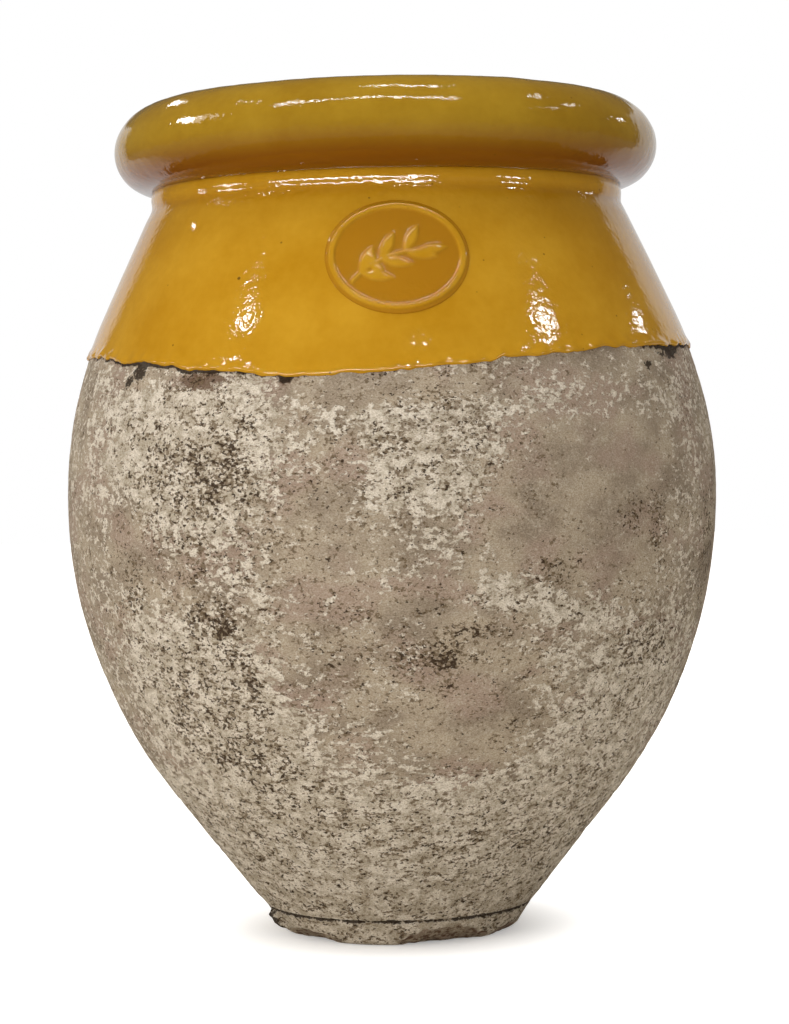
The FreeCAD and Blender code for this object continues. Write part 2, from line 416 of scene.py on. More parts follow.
def dress(piece: Piece, slot: Slot, *materials: Material) -> None:
    """Gives a piece its materials.

    Args:
        piece: The piece.
        slot: Not used.
        materials: Its materials, in the order of their numbers on the faces.
    """
    piece.data.materials.clear()
    for material in materials:
        piece.data.materials.append(material)


def seat(piece: Piece, *nodes: str) -> None:
    """Puts a piece on the jar's body in place of CAD nodes, and reports it.

    Args:
        piece: The piece.
        nodes: Names of the CAD nodes that it stands for.
    """
    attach(piece, BODY)
    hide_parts(*nodes)
    log.info("%s stands for %s, %d faces", piece.name, ", ".join(nodes), len(piece.data.polygons))


@dataclass(frozen=True)
class Relief:
    """An uneven surface that is pressed into a zone of a piece.

    size is the width of its lumps and height the distance from its lowest to its highest place. level is
    the share of that height which stays where the surface was. Where steps are given, the noise rises
    between these two shares of its range alone, so the relief has flat ground and tops.
    """

    name: str
    size: float
    height: float
    octaves: int = 2
    steps: Pair | None = None
    level: float = 0.5

    def press(self, piece: Piece, zone: str) -> None:
        """Moves the points of a zone in or out along their normals.

        Args:
            piece: The piece.
            zone: Name of the vertex group that limits the relief.
        """
        texture = bpy.data.textures.new(self.name, "CLOUDS")
        texture.noise_scale = self.size
        texture.noise_depth = self.octaves
        if self.steps:
            texture.use_color_ramp = True
            for element, place, grey in zip(texture.color_ramp.elements, self.steps, (0.0, 1.0)):
                element.position = place
                element.color = (grey, grey, grey, 1.0)
        modify(piece, "DISPLACE", texture=texture, texture_coords="LOCAL", vertex_group=zone,
               strength=self.height, mid_level=self.level)


@dataclass(frozen=True)
class JarForm:
    """Outline of the jar, in the sizes of the CAD model."""

    foot_radius: float = 92 * MM
    foot_band_radius: float = 106 * MM
    foot_band_height: float = 21 * MM
    groove: float = 1.8 * MM
    groove_points: int = 6
    coil_leg: float = 24 * MM
    lower_rise: float = 322 * MM
    lower_straight: float = 90 * MM
    belly_radius: float = 256 * MM
    upper_rise: float = 228 * MM
    upper_straight: float = 88 * MM
    wall: float = 18 * MM
    neck_radius: float = 184 * MM
    collar_wall: float = 24 * MM
    collar_margin: float = 2.5 * MM
    bead_height: float = 9 * MM
    bead_proud: float = 1 * MM
    rim_roll: float = 30 * MM
    rim_overhang: float = 28.6 * MM
    crown_radius: float = 39.5 * MM
    crown_angle: float = 27.0
    lower_seam_drop: float = 150 * MM
    upper_seam_rise: float = 47 * MM
    seam_bevel: float = 30.0
    samples: int = 400
    halvings: int = 60

    @cached_property
    def belly_height(self) -> float:
        """Height of the widest place."""
        return self.foot_band_height + self.lower_rise

    @cached_property
    def neck_height(self) -> float:
        """Height where the shoulder meets the collar."""
        return self.belly_height + self.upper_rise

    @cached_property
    def bead_middle(self) -> float:
        """Height of the middle of the collar's bead."""
        return self.neck_height + self.collar_margin + self.bead_height / 2

    @cached_property
    def crease_height(self) -> float:
        """Height where the collar meets the rim."""
        return self.neck_height + self.bead_height + 2 * self.collar_margin

    @cached_property
    def throat_radius(self) -> float:
        """Radius of the mouth."""
        return self.neck_radius - self.collar_wall

    @cached_property
    def rim_centre(self) -> Pair:
        """Radius and height of the middle of the rolled rim."""
        radius = self.neck_radius + self.rim_overhang - self.rim_roll
        return radius, self.crease_height + math.sqrt(self.rim_roll**2 - (self.neck_radius - radius) ** 2)

    @cached_property
    def crown_centre(self) -> Pair:
        """Radius and height of the centre of the flatter round on top of the rim."""
        shift = self.crown_radius - self.rim_roll
        turn = math.radians(self.crown_angle)
        return self.rim_centre[0] - shift * math.cos(turn), self.rim_centre[1] - shift * math.sin(turn)

    @cached_property
    def lip_radius(self) -> float:
        """Radius of the round between the crown of the rim and the throat."""
        return self.crown_centre[0] - self.throat_radius

    @cached_property
    def lip_centre(self) -> Pair:
        """Radius and height of the centre of that round."""
        return self.crown_centre[0], self.crown_centre[1] + self.crown_radius - self.lip_radius

    def rim_offset(self, radius: Array, height: Array) -> Array:
        """How far points lie out from the clay of the rim and throat.

        Args:
            radius: Radii of the points.
            height: Their heights.

        Returns:
            The distances.
        """
        out, up = radius - self.rim_centre[0], height - self.rim_centre[1]
        roll = np.hypot(out, up) - self.rim_roll
        crown = np.hypot(radius - self.crown_centre[0], height - self.crown_centre[1]) - self.crown_radius
        lip = np.hypot(radius - self.lip_centre[0], height - self.lip_centre[1]) - self.lip_radius
        rolled = (out > 0) & (up < out * math.tan(math.radians(self.crown_angle)))
        inner = np.where(height > self.lip_centre[1], lip, self.throat_radius - radius)
        return np.where(rolled, roll, np.where(radius > self.crown_centre[0], crown, inner))

    def lean_of(self, run: float, rise: float, straight: float) -> float:
        """Angle from upright of a straight stretch that runs into an arc, which ends upright.

        Args:
            run: How far the two spread together.
            rise: How high they are together.
            straight: How high the straight stretch is.

        Returns:
            The angle in radians.
        """
        low, high = 0.0, math.pi / 2
        for _ in range(self.halvings):
            lean = (low + high) / 2
            spread = straight * math.tan(lean) + (rise - straight) * math.tan(lean / 2)
            low, high = (lean, high) if spread < run else (low, lean)
        return lean

    @cached_property
    def leans(self) -> Pair:
        """Angles from upright of the straight stretches at the foot and at the neck."""
        lower = self.lean_of(self.belly_radius - self.foot_band_radius, self.lower_rise, self.lower_straight)
        upper = self.lean_of(self.belly_radius - self.neck_radius, self.upper_rise, self.upper_straight)
        return lower, upper

    @cached_property
    def swells(self) -> Pair:
        """Radii of the arcs below and above the belly line."""
        lower = (self.lower_rise - self.lower_straight) / math.sin(self.leans[0])
        upper = (self.upper_rise - self.upper_straight) / math.sin(self.leans[1])
        return lower, upper

    def radius(self, height: Array | float, offset: Array | float = 0.0) -> Array:
        """Radius of the body at a height, with its outline moved out by an offset.

        Args:
            height: One height or several.
            offset: Distance that the outline is moved out by.

        Returns:
            The radii.
        """
        rise = np.asarray(height, float) - self.belly_height
        swell = np.where(rise > 0, self.swells[1], self.swells[0])
        lean = np.where(rise > 0, self.leans[1], self.leans[0])
        reach = swell + offset
        round_rise = reach * np.sin(lean)
        curved = self.belly_radius - swell + np.sqrt(np.maximum(reach**2 - rise**2, 0.0))
        tangent = self.belly_radius - swell + reach * np.cos(lean)
        straight = tangent - (np.abs(rise) - round_rise) * np.tan(lean)
        return np.where(np.abs(rise) < round_rise, curved, straight)

    def lean_at(self, height: Array) -> Array:
        """Angle by which the wall's outward normal points up, in radians, at heights above the belly."""
        rise = (height - self.belly_height) / self.swells[1]
        return np.minimum(np.arcsin(np.clip(rise, 0, 1)), self.leans[1])

    def coat_radius(self, height: Array, offset: Array | float, fillet: Array | float) -> Array:
        """Radius of a coat over the shoulder and collar, with hollows filled in a little.

        Args:
            height: Heights up to the crease.
            offset: Thickness of the coat.
            fillet: Size of the filling in the hollows.

        Returns:
            The radii.
        """
        bead_radius = (self.bead_height**2 / 4 + self.bead_proud**2) / (2 * self.bead_proud)
        drop = np.minimum(np.abs(height - self.bead_middle), bead_radius + offset)
        bulge = np.sqrt((bead_radius + offset) ** 2 - drop**2)
        bead = self.neck_radius + self.bead_proud - bead_radius + bulge
        radius = self.radius(height, offset)
        for other in (self.neck_radius + offset, bead):
            radius = (radius + other + np.sqrt((radius - other) ** 2 + fillet**2)) / 2
        return radius

    def wall_outline(self, low: float, high: float, offset: float, step: float) -> Outline:
        """Draws the wall's outline between two heights.

        Args:
            low: First height.
            high: Last height.
            offset: Distance that the outline is moved out by.
            step: Distance between points.

        Returns:
            The points, from the first height to the last.
        """
        heights = np.linspace(low, high, self.samples)
        return evenly(np.column_stack([self.radius(heights, offset), heights]), step)

    def seam(self, height: Array | float, radius: Array | float) -> Array | float:
        """Value that stays the same along a bevelled seam through a point of the section."""
        return height + radius * math.tan(math.radians(self.seam_bevel))

    def inner_end(self, outer_height: float) -> float:
        """Height at which the seam from a height of the outside comes out on the inside.

        Args:
            outer_height: Height of the seam on the outside.

        Returns:
            Its height on the inside.
        """
        seam = self.seam(outer_height, float(self.radius(outer_height)))
        low, high = outer_height, outer_height + 2 * self.wall
        for _ in range(self.halvings):
            middle = (low + high) / 2
            short = self.seam(middle, float(self.radius(middle, -self.wall))) < seam
            low, high = (middle, high) if short else (low, middle)
        return low

    @cached_property
    def throat_foot(self) -> float:
        """Height where the throat runs into the inside of the shoulder."""
        inward = self.neck_radius - self.wall / math.cos(self.leans[1]) - self.throat_radius
        return self.neck_height + inward / math.tan(self.leans[1])


@dataclass(frozen=True)
class GlazeEdge:
    """The ragged lower edge of the shoulder's glaze, which sags at the front.

    waves gives the size and the depth of each wave in it.
    """

    height: float = 456 * MM
    sag: float = 22 * MM
    sag_bearing: float = -10.0
    sag_spread: float = 43.0
    girth: float = 244 * MM
    waves: tuple[Pair, ...] = ((42 * MM, 2.6 * MM), (13 * MM, 1.7 * MM), (6 * MM, 0.9 * MM))
    bearings: int = 2880

    @cached_property
    def table(self) -> tuple[Array, Array]:
        """Bearings all round and the heights of the edge there."""
        bearing = np.linspace(-180.0, 180.0, self.bearings + 1)
        height = self.height - self.sag * bell(bearing, self.sag_bearing, self.sag_spread)
        circle = from_around(bearing, self.girth, 0.0)
        for size, depth in self.waves:
            height += depth * lumps(circle, size)
        return bearing, height

    def at(self, bearing: Array) -> Array:
        """Heights of the edge at bearings in degrees."""
        return np.interp(bearing, *self.table)


@dataclass(frozen=True)
class Patch:
    """A weathered patch of the wall, with its bearing, and its height and half sizes in millimetres."""

    bearing: float
    height: float
    across: float
    tall: float
    strength: float
    fall: float = 1.5

    def weights(self, bearing: Array, radius: Array, height: Array) -> Array:
        """Strength of the patch at points of the wall.

        Args:
            bearing: Bearings in degrees.
            radius: Radii.
            height: Heights.

        Returns:
            The strength at each point, which falls off past the half sizes.
        """
        aside = np.radians(degrees_aside(bearing, self.bearing)) * radius / (self.across * MM)
        above = (height - self.height * MM) / (self.tall * MM)
        return self.strength * np.exp(-((aside**2 + above**2) ** self.fall))


@dataclass(frozen=True)
class Weather:
    """How lime, grime, rust and damp lie on the outside of the wall.

    line gives the places of the dark line under the glaze, a stain and a painted shadow of its lip, with
    their bearing, spread and strength.
    """

    form: JarForm
    edge: GlazeEdge
    lime_ground: float = 0.28
    foot_lime: float = 0.50
    foot_lime_top: Pair = (51 * MM, 170 * MM)
    grime_ground: float = 0.24
    low_grime: float = 0.14
    low_grime_top: Pair = (230 * MM, 320 * MM)
    limed_grime: float = 0.25
    limed: Pair = (0.35, 0.6)
    broken_rust: float = 0.7
    mortar_stain: float = 0.8
    line_drop: float = 2.4 * MM
    line_ground: float = 0.30
    line: tuple[tuple[float, float, float], ...] = (
        (-45, 24, 0.8),
        (66, 14, 0.8),
        (150, 50, 0.6),
        (-140, 40, 0.5),
    )
    # How much darker the groove above the foot is painted.
    groove_darkening: float = 0.75
    groove_reach: float = 2.2 * MM
    damp_top: float = 90 * MM
    lime: tuple[Patch, ...] = (
        Patch(-36, 385, 92, 62, 0.30),
        Patch(-62, 330, 60, 110, -0.03),
        Patch(-13, 332, 48, 75, -0.15),
        Patch(-45, 434, 60, 10, -0.15),
        Patch(38, 415, 70, 22, 0.14),
        Patch(74, 310, 36, 60, -0.16),
        Patch(-24, 300, 50, 40, 0.06),
        Patch(6, 385, 60, 58, 0.15),
        Patch(14, 178, 44, 34, -0.14),
        Patch(-12, 222, 40, 40, -0.06),
        Patch(17, 335, 24, 30, -0.10),
        Patch(-36, 285, 40, 36, -0.10),
        Patch(-40, 205, 70, 60, 0.30),
        Patch(-27, 150, 45, 40, 0.20),
        Patch(50, 190, 72, 66, 0.22),
        Patch(20, 276, 34, 15, 0.30),
        Patch(33, 262, 30, 12, 0.22),
        Patch(40, 360, 62, 92, -0.20),
        Patch(24, 330, 36, 60, -0.20),
        Patch(9, 268, 52, 24, -0.13),
        Patch(13, 205, 42, 40, -0.20),
        Patch(-49, 318, 22, 34, -0.22),
        Patch(0, 424, 90, 12, -0.25),
        Patch(110, 380, 90, 60, 0.26),
        Patch(140, 230, 100, 70, 0.24),
        Patch(-120, 240, 110, 60, 0.26),
        Patch(-150, 370, 100, 60, 0.22),
        Patch(95, 290, 70, 50, -0.18),
        Patch(-90, 300, 60, 50, -0.18),
        Patch(175, 300, 90, 30, -0.18),
    )
    grime: tuple[Patch, ...] = (
        Patch(-30, 335, 84, 66, 0.34),
        Patch(-27, 375, 14, 20, 0.30),
        Patch(-34, 262, 24, 14, 0.34),
        Patch(-29, 246, 10, 26, 0.42),
        Patch(-26, 218, 7, 22, 0.44),
        Patch(-50, 282, 14, 24, 0.45),
        Patch(-38, 205, 64, 54, 0.10),
        Patch(0, 40, 220, 46, -0.10),
        Patch(-40, 160, 26, 14, 0.12),
        Patch(44, 332, 26, 12, 0.45),
        Patch(50, 318, 12, 30, 0.45),
        Patch(26, 292, 22, 10, 0.50),
        Patch(2, 250, 74, 54, 0.12),
        Patch(5, 232, 42, 8, 0.40),
        Patch(9, 222, 9, 16, 0.32),
        Patch(14, 250, 24, 7, 0.46),
        Patch(50, 238, 46, 14, 0.30),
        Patch(5, 385, 70, 60, 0.31),
        # Dirt, together with painted shade that darkens the right edge.
        Patch(72, 308, 34, 44, 0.40),
        Patch(40, 390, 60, 60, -0.25),
        Patch(13, 200, 40, 40, -0.10),
        Patch(120, 300, 70, 60, 0.45),
        Patch(-110, 330, 60, 60, 0.45),
        Patch(170, 200, 80, 50, 0.45),
        Patch(-33, 431, 34, 9, 0.4),
    )
    rust: tuple[Patch, ...] = (
        Patch(-33, 431, 34, 9, 1.0),
        Patch(-17, 429, 12, 7, 0.7),
        Patch(0, 428, 70, 8, 0.40),
        Patch(23, 334, 6, 5, 0.6),
        Patch(4, 297, 13, 7, 0.5),
        Patch(13, 306, 5, 10, 0.45),
        Patch(150, 440, 60, 9, 0.8),
        Patch(-130, 445, 50, 8, 0.7),
    )
    spots: tuple[Patch, ...] = (
        Patch(-52, 433, 6, 6, 0.8),
        Patch(-49, 440, 9, 7, 0.8),
        Patch(-17.5, 432, 6, 6, 0.75),
        Patch(52, 439, 7, 5, 0.75),
        Patch(62, 448, 30, 6, 0.7),
    )

    @staticmethod
    def total(patches: tuple[Patch, ...], place: tuple[Array, ...]) -> Array:
        """Adds up patches at points, which are given by bearing, radius and height."""
        return sum(patch.weights(*place) for patch in patches)

    def settle(self, piece: Piece, broken: Array | float = 0.0, mortar: Array | float = 0.0) -> None:
        """Keeps the weathering of each point of a piece as marks.

        Args:
            piece: The piece.
            broken: Share of bare broken clay at each point.
            mortar: Share of dark old mortar at each point.
        """
        place = around(points_of(piece))
        bearing, _, height = place
        low = 1 - fade(height, *self.foot_lime_top)
        lime = self.lime_ground + self.foot_lime * low + self.total(self.lime, place)
        grime = self.grime_ground + self.low_grime * (1 - fade(height, *self.low_grime_top))
        grime = grime + self.limed_grime * fade(lime, *self.limed) + self.total(self.grime, place)
        below = self.edge.at(bearing) - height
        # The dark line under the glaze's edge is a stain and a painted shadow of the glaze's lip.
        strength = self.line_ground + sum(
            most * bell(degrees_aside(bearing, middle), 0.0, spread) for middle, spread, most in self.line)
        line = strength * bell(np.maximum(below, 0), 0.0, self.line_drop) * (below > -self.line_drop)
        # The groove above the foot is painted darker.
        groove = self.groove_darkening * bell(height, self.form.foot_band_height, self.groove_reach)
        stain_and_shadow = line + groove + self.total(self.spots, place) + self.mortar_stain * mortar
        keep_mark(piece, Mark.LIME, lime * (1 - broken))
        keep_mark(piece, Mark.GRIME, grime * (1 - broken))
        keep_mark(piece, Mark.RUST, self.total(self.rust, place) + self.broken_rust * broken)
        keep_mark(piece, Mark.STAIN, stain_and_shadow)
        keep_mark(piece, Mark.DAMP, 1 - fade(height, 0.0, self.damp_top))


@dataclass(frozen=True)
class ClayWall:
    """The three luted rings of the wall, thrown as one section and parted at their seams.

    inside_from and outside_to are depths from the outside, as shares of the wall's thickness.
    """

    form: JarForm
    edge: GlazeEdge
    weather: Weather
    steps: int = 720
    row: float = 2.4 * MM
    inner_row: float = 5.3 * MM
    hidden_row: float = 7 * MM
    bare_top: float = 470 * MM
    finger_pitch: float = 24 * MM
    finger_depth: float = 1.4 * MM
    finger_foot: Pair = (40 * MM, 90 * MM)
    finger_top: Pair = (520 * MM, 570 * MM)
    inside_from: float = 0.6
    outside_to: float = 0.4
    glaze_gap: Pair = (-3 * MM, 1 * MM)
    rough_foot: Pair = (23 * MM, 32 * MM)
    crusted: Pair = (0.15, 0.55)
    sway: Relief = Relief("wall_sway", 95 * MM, 1.8 * MM)
    crust: Relief = Relief("lime_crust", 8 * MM, 0.75 * MM, 3, (0.46, 0.56), 0.0)
    grit: Relief = Relief("wall_grit", 4.5 * MM, 0.35 * MM, 3)
    pits: Relief = Relief("wall_pits", 6 * MM, -0.9 * MM, 2, (0.66, 0.76), 0.0)

    @cached_property
    def seams(self) -> Pair:
        """Heights of the two seams on the outside."""
        form = self.form
        return form.belly_height - form.lower_seam_drop, form.belly_height + form.upper_seam_rise

    def outline(self) -> Outline:
        """Draws the wall's section, from the scored groove up the outside and down the inside.

        Returns:
            Its points as rows of radius and height.
        """
        form = self.form
        groove = arc((form.foot_band_radius, form.foot_band_height), form.groove,
                     180, 90 - math.degrees(form.leans[0]), form.groove_points)
        stops = [groove[-1][1], *self.seams, self.bare_top, form.neck_height]
        rows = [self.row, self.row, self.row, self.hidden_row]
        outside = [form.wall_outline(*ends, 0.0, row) for ends, row in zip(zip(stops, stops[1:]), rows)]
        seam = form.seam(form.neck_height, form.neck_radius)
        throat_top = (form.throat_radius, seam - form.seam(0.0, form.throat_radius))
        inner_seams = [form.inner_end(height) for height in self.seams[::-1]]
        stops = [form.throat_foot, *inner_seams, form.foot_band_height]
        inside = [form.wall_outline(*ends, -form.wall, self.inner_row) for ends in zip(stops, stops[1:])]
        return stitched(groove, *outside, throat_top, *inside, groove[:1])

    def number_rings(self, wall: Piece) -> None:
        """Keeps on each face which ring it belongs to.

        Args:
            wall: The whole wall.
        """
        _, radius, height = around(centres_of(wall))
        limits = [self.form.seam(seam, float(self.form.radius(seam))) for seam in self.seams]
        numbers = np.digitize(self.form.seam(height, radius), limits)
        layer = wall.data.attributes.new("ring", "INT", "FACE")
        layer.data.foreach_set("value", numbers.astype(np.int32))

    def finger_marks(self, wall: Piece) -> None:
        """Draws the potter's fingers up the inside in one long spiral.

        Args:
            wall: The whole wall.
        """
        bearing, radius, height = around(points_of(wall))
        inside = radius < self.form.radius(height, -self.inside_from * self.form.wall)
        ends = fade(height, *self.finger_foot) * (1 - fade(height, *self.finger_top))
        wave = 0.5 + 0.5 * np.cos(math.tau * (height / self.finger_pitch + bearing / 360))
        put_points(wall, from_around(bearing, radius - inside * ends * self.finger_depth * wave, height))

    def roughen(self, wall: Piece) -> None:
        """Presses the weathered surface into the bare outside.

        Args:
            wall: The whole wall.
        """
        bearing, radius, height = around(points_of(wall))
        outside = radius > self.form.radius(height, -self.outside_to * self.form.wall)
        below = self.edge.at(bearing) - height
        bare = outside * fade(below, *self.glaze_gap) * fade(height, *self.rough_foot)
        lime = np.empty(len(bare), np.float32)
        wall.data.attributes[Mark.LIME.value].data.foreach_get("value", lime)
        zone = paint_zone(wall, "bare", bare)
        self.sway.press(wall, zone)
        before = around(points_of(wall))[1]
        self.crust.press(wall, paint_zone(wall, "limed", bare * fade(lime, *self.crusted)))
        rise = (around(points_of(wall))[1] - before) / self.crust.height
        keep_mark(wall, Mark.CRUST, np.clip(rise, 0, 1))
        self.grit.press(wall, zone)
        self.pits.press(wall, zone)

    def close_seams(self, ring: Piece) -> None:
        """Bridges the two cut loops at each open end of a ring.

        Args:
            ring: The ring.
        """
        _, radius, height = around(points_of(ring))
        seam = self.form.seam(height, radius)
        upper = seam > (seam.min() + seam.max()) / 2
        open_mesh(ring)
        bpy.ops.mesh.select_all(action="DESELECT")
        bpy.ops.mesh.select_non_manifold(extend=False, use_wire=False, use_boundary=True,
                                         use_multi_face=False, use_non_contiguous=False, use_verts=False)
        close_mesh()
        cut = np.empty(len(seam), bool)
        ring.data.vertices.foreach_get("select", cut)
        for end in (upper, ~upper):
            if (cut & end).any():
                open_mesh(ring, cut & end)
                bpy.ops.mesh.select_mode(type="EDGE")
                bpy.ops.mesh.bridge_edge_loops()
        face_out(ring)

    def part(self, wall: Piece) -> list[Piece]:
        """Parts the wall at its seams.

        Args:
            wall: The whole wall.

        Returns:
            The rings from the foot up.
        """
        rings = []
        for number in range(len(RING_NODES) - 1):
            numbers = np.empty(len(wall.data.polygons), np.int32)
            wall.data.attributes["ring"].data.foreach_get("value", numbers)
            open_mesh(wall, numbers == number, "FACE")
            bpy.ops.mesh.separate(type="SELECTED")
            close_mesh()
            rings.append(next(piece for piece in bpy.context.selected_objects if piece != wall))
        return [*rings, wall]

    def build(self) -> list[Piece]:
        """Throws, weathers and parts the wall.

        Returns:
            Its rings from the foot up.
        """
        wall = throw("clay_wall", self.outline(), self.steps)
        self.number_rings(wall)
        self.finger_marks(wall)
        self.weather.settle(wall)
        self.roughen(wall)
        rings = self.part(wall)
        for ring, node in zip(rings, RING_NODES):
            ring.name = ring.data.name = f"clay_{node}"
            self.close_seams(ring)
            smooth(ring)
        return rings

    def dress(self, rings: list[Piece], outside: Material, inside: Material) -> None:
        """Finishes the rings.

        Args:
            rings: The rings from the foot up.
            outside: Finish of the weathered outside.
            inside: Finish of the inside and the seams.
        """
        for ring, node in zip(rings, RING_NODES):
            dress(ring, Slot.LIMEWASH, outside, inside)
            _, radius, height = around(centres_of(ring))
            inner = radius < self.form.radius(height, -self.outside_to * self.form.wall)
            ring.data.polygons.foreach_set("material_index", inner.astype(np.int32))
            seat(ring, node)


@dataclass(frozen=True)
class FootSlab:
    """The cut slab that the jar stands on, worn and chipped around its edge.

    breaks gives each flake's bearing, how far it faces down in degrees, and its depth. lump_from and
    side_from are shares of the foot's radius, outside which a lump and the worn side lie.
    """

    form: JarForm
    weather: Weather
    steps: int = 480
    row: float = 1.5 * MM
    flat_row: float = 6 * MM
    worn_round: float = 11 * MM
    round_points: int = 12
    wear: Relief = Relief("foot_wear", 14 * MM, 1.4 * MM, 3)
    grit: Relief = Relief("foot_grit", 4 * MM, 0.6 * MM, 3)
    wire_marks: Relief = Relief("wire_marks", 16 * MM, -0.9 * MM, 3, (0.35, 0.8), 0.0)
    breaks: tuple[tuple[float, float, float], ...] = (
        (22.0, 54.0, 5.2 * MM),
        (62.0, 52.0, 1.8 * MM),
        (-48.0, 56.0, 3.2 * MM),
        (128.0, 40.0, 3.6 * MM),
        (-142.0, 46.0, 3.0 * MM),
    )
    break_grain: float = 7 * MM
    break_rough: float = 0.25
    bare_depth: Pair = (0.1 * MM, 0.6 * MM)
    lump_bearing: float = -70.0
    lump_height: float = 12 * MM
    lump_grain: float = 4.5 * MM
    lump_reach: Pair = (4.5 * MM, 9 * MM)
    lump_ragged: float = 0.5
    lump_rough: float = 0.4
    lump_proud: float = 6 * MM
    lump_from: float = 0.8
    side_from: float = 0.85
    side_foot: Pair = (1 * MM, 6 * MM)
    side_top: Pair = (17 * MM, 20 * MM)
    under_top: float = 0.1 * MM
    floor_depth: float = 0.5 * MM

    def outline(self) -> Outline:
        """Draws the slab's section, from the axis under it round to the axis on top.

        Returns:
            Its points as rows of radius and height.
        """
        form = self.form
        lean = math.atan2(form.foot_band_radius - form.foot_radius, form.foot_band_height)
        round_centre = form.foot_radius - self.worn_round * (1 - math.sin(lean)) / math.cos(lean)
        edge = arc((round_centre, self.worn_round), self.worn_round, -90, -math.degrees(lean),
                   self.round_points)
        groove = arc((form.foot_band_radius, form.foot_band_height), form.groove,
                     -90 - math.degrees(lean), -180, form.groove_points)
        under = evenly(np.array([(0.0, 0.0), edge[0]]), self.flat_row)
        side = evenly(np.array([edge[-1], groove[0]]), self.row)
        top = evenly(np.array([groove[-1], (0.0, form.foot_band_height)]), self.flat_row)
        return stitched(under, edge, side, groove, top)

    def break_edge(self, slab: Piece) -> Array:
        """Breaks flat flakes off the standing edge.

        Args:
            slab: The slab.

        Returns:
            How far each point was moved in.
        """
        points = points_of(slab)
        rough = lumps(points, self.break_grain)
        lost = np.zeros(len(points))
        for bearing, drop, depth in self.breaks:
            out = np.array(pointing(bearing, -drop))
            reach = points @ out
            over = np.maximum(reach - reach.max() + depth * (1 + self.break_rough * rough), 0.0)
            points = points - np.outer(over, out)
            lost += over
        points[:, 2] = np.maximum(points[:, 2], 0.0)
        put_points(slab, points)
        return lost

    def stick_lump(self, slab: Piece) -> Array:
        """Swells out the lump of old mortar that sticks to the side.

        Args:
            slab: The slab.

        Returns:
            Share of the lump at each point.
        """
        points = points_of(slab)
        bearing, radius, height = around(points)
        aside = np.radians(bearing - self.lump_bearing) * radius
        rough = lumps(points, self.lump_grain)
        far = np.hypot(aside, height - self.lump_height) * (1 + self.lump_ragged * rough)
        share = (1 - fade(far, *self.lump_reach)) * (radius > self.lump_from * self.form.foot_radius)
        swell = share * self.lump_proud * (1 + self.lump_rough * rough)
        put_points(slab, from_around(bearing, radius + swell, height))
        return share

    def build(self) -> Piece:
        """Throws the slab, wears it and breaks its edge.

        Returns:
            The slab.
        """
        slab = throw("clay_foot_slab", self.outline(), self.steps)
        _, radius, height = around(points_of(slab))
        side = (radius > self.side_from * self.form.foot_radius) * fade(height, *self.side_foot)
        side *= 1 - fade(height, *self.side_top)
        self.wear.press(slab, paint_zone(slab, "side", side))
        lost = self.break_edge(slab)
        lump = self.stick_lump(slab)
        self.grit.press(slab, "side")
        self.wire_marks.press(slab, paint_zone(slab, "under", height < self.under_top))
        self.weather.settle(slab, fade(lost, *self.bare_depth), lump)
        smooth(slab)
        return slab

    def dress(self, slab: Piece, outside: Material, inside: Material) -> None:
        """Finishes the slab: weathered outside, raw clay on the floor inside.

        Args:
            slab: The slab.
            outside: Finish of the weathered outside.
            inside: Finish of the floor inside.
        """
        dress(slab, Slot.LIMEWASH, outside, inside)
        _, radius, height = around(centres_of(slab))
        on_top = height > self.form.foot_band_height - self.floor_depth
        floor = on_top & (radius < self.form.foot_radius)
        slab.data.polygons.foreach_set("material_index", floor.astype(np.int32))
        seat(slab, "foot_slab")


@dataclass(frozen=True)
class FloorCoil:
    """The coil that is pressed into the inner corner between the floor and the wall."""

    form: JarForm
    steps: int = 360
    row: float = 2.5 * MM
    clearance: float = 0.4 * MM
    finger_marks: Relief = Relief("coil_fingers", 18 * MM, 1.2 * MM, 2, None, 1.0)

    def build(self) -> Piece:
        """Throws the coil with its hollow and presses finger marks into that.

        Returns:
            The coil.
        """
        form = self.form
        lean = form.leans[0]
        corner = np.array([float(form.radius(form.foot_band_height, -form.wall)), form.foot_band_height])
        on_floor = corner - (form.coil_leg, 0)
        on_wall = corner + np.array([math.sin(lean), math.cos(lean)]) * form.coil_leg
        hollow = form.coil_leg * math.tan(math.pi / 4 + lean / 2)
        curve = arc((on_floor[0], on_floor[1] + hollow), hollow, -90, -math.degrees(lean))
        outline = stitched(corner, on_floor, evenly(curve, self.row), on_wall, corner)
        coil = throw("clay_floor_coil", outline, self.steps)
        _, radius, height = around(points_of(coil))
        off_wall = radius < form.radius(height, -form.wall) - self.clearance
        free = off_wall & (height > form.foot_band_height + self.clearance)
        self.finger_marks.press(coil, paint_zone(coil, "hollow", free))
        smooth(coil)
        return coil

    def dress(self, coil: Piece, clay: Material) -> None:
        """Finishes the coil in raw clay."""
        dress(coil, Slot.CLAY, clay)
        seat(coil, "floor_coil")


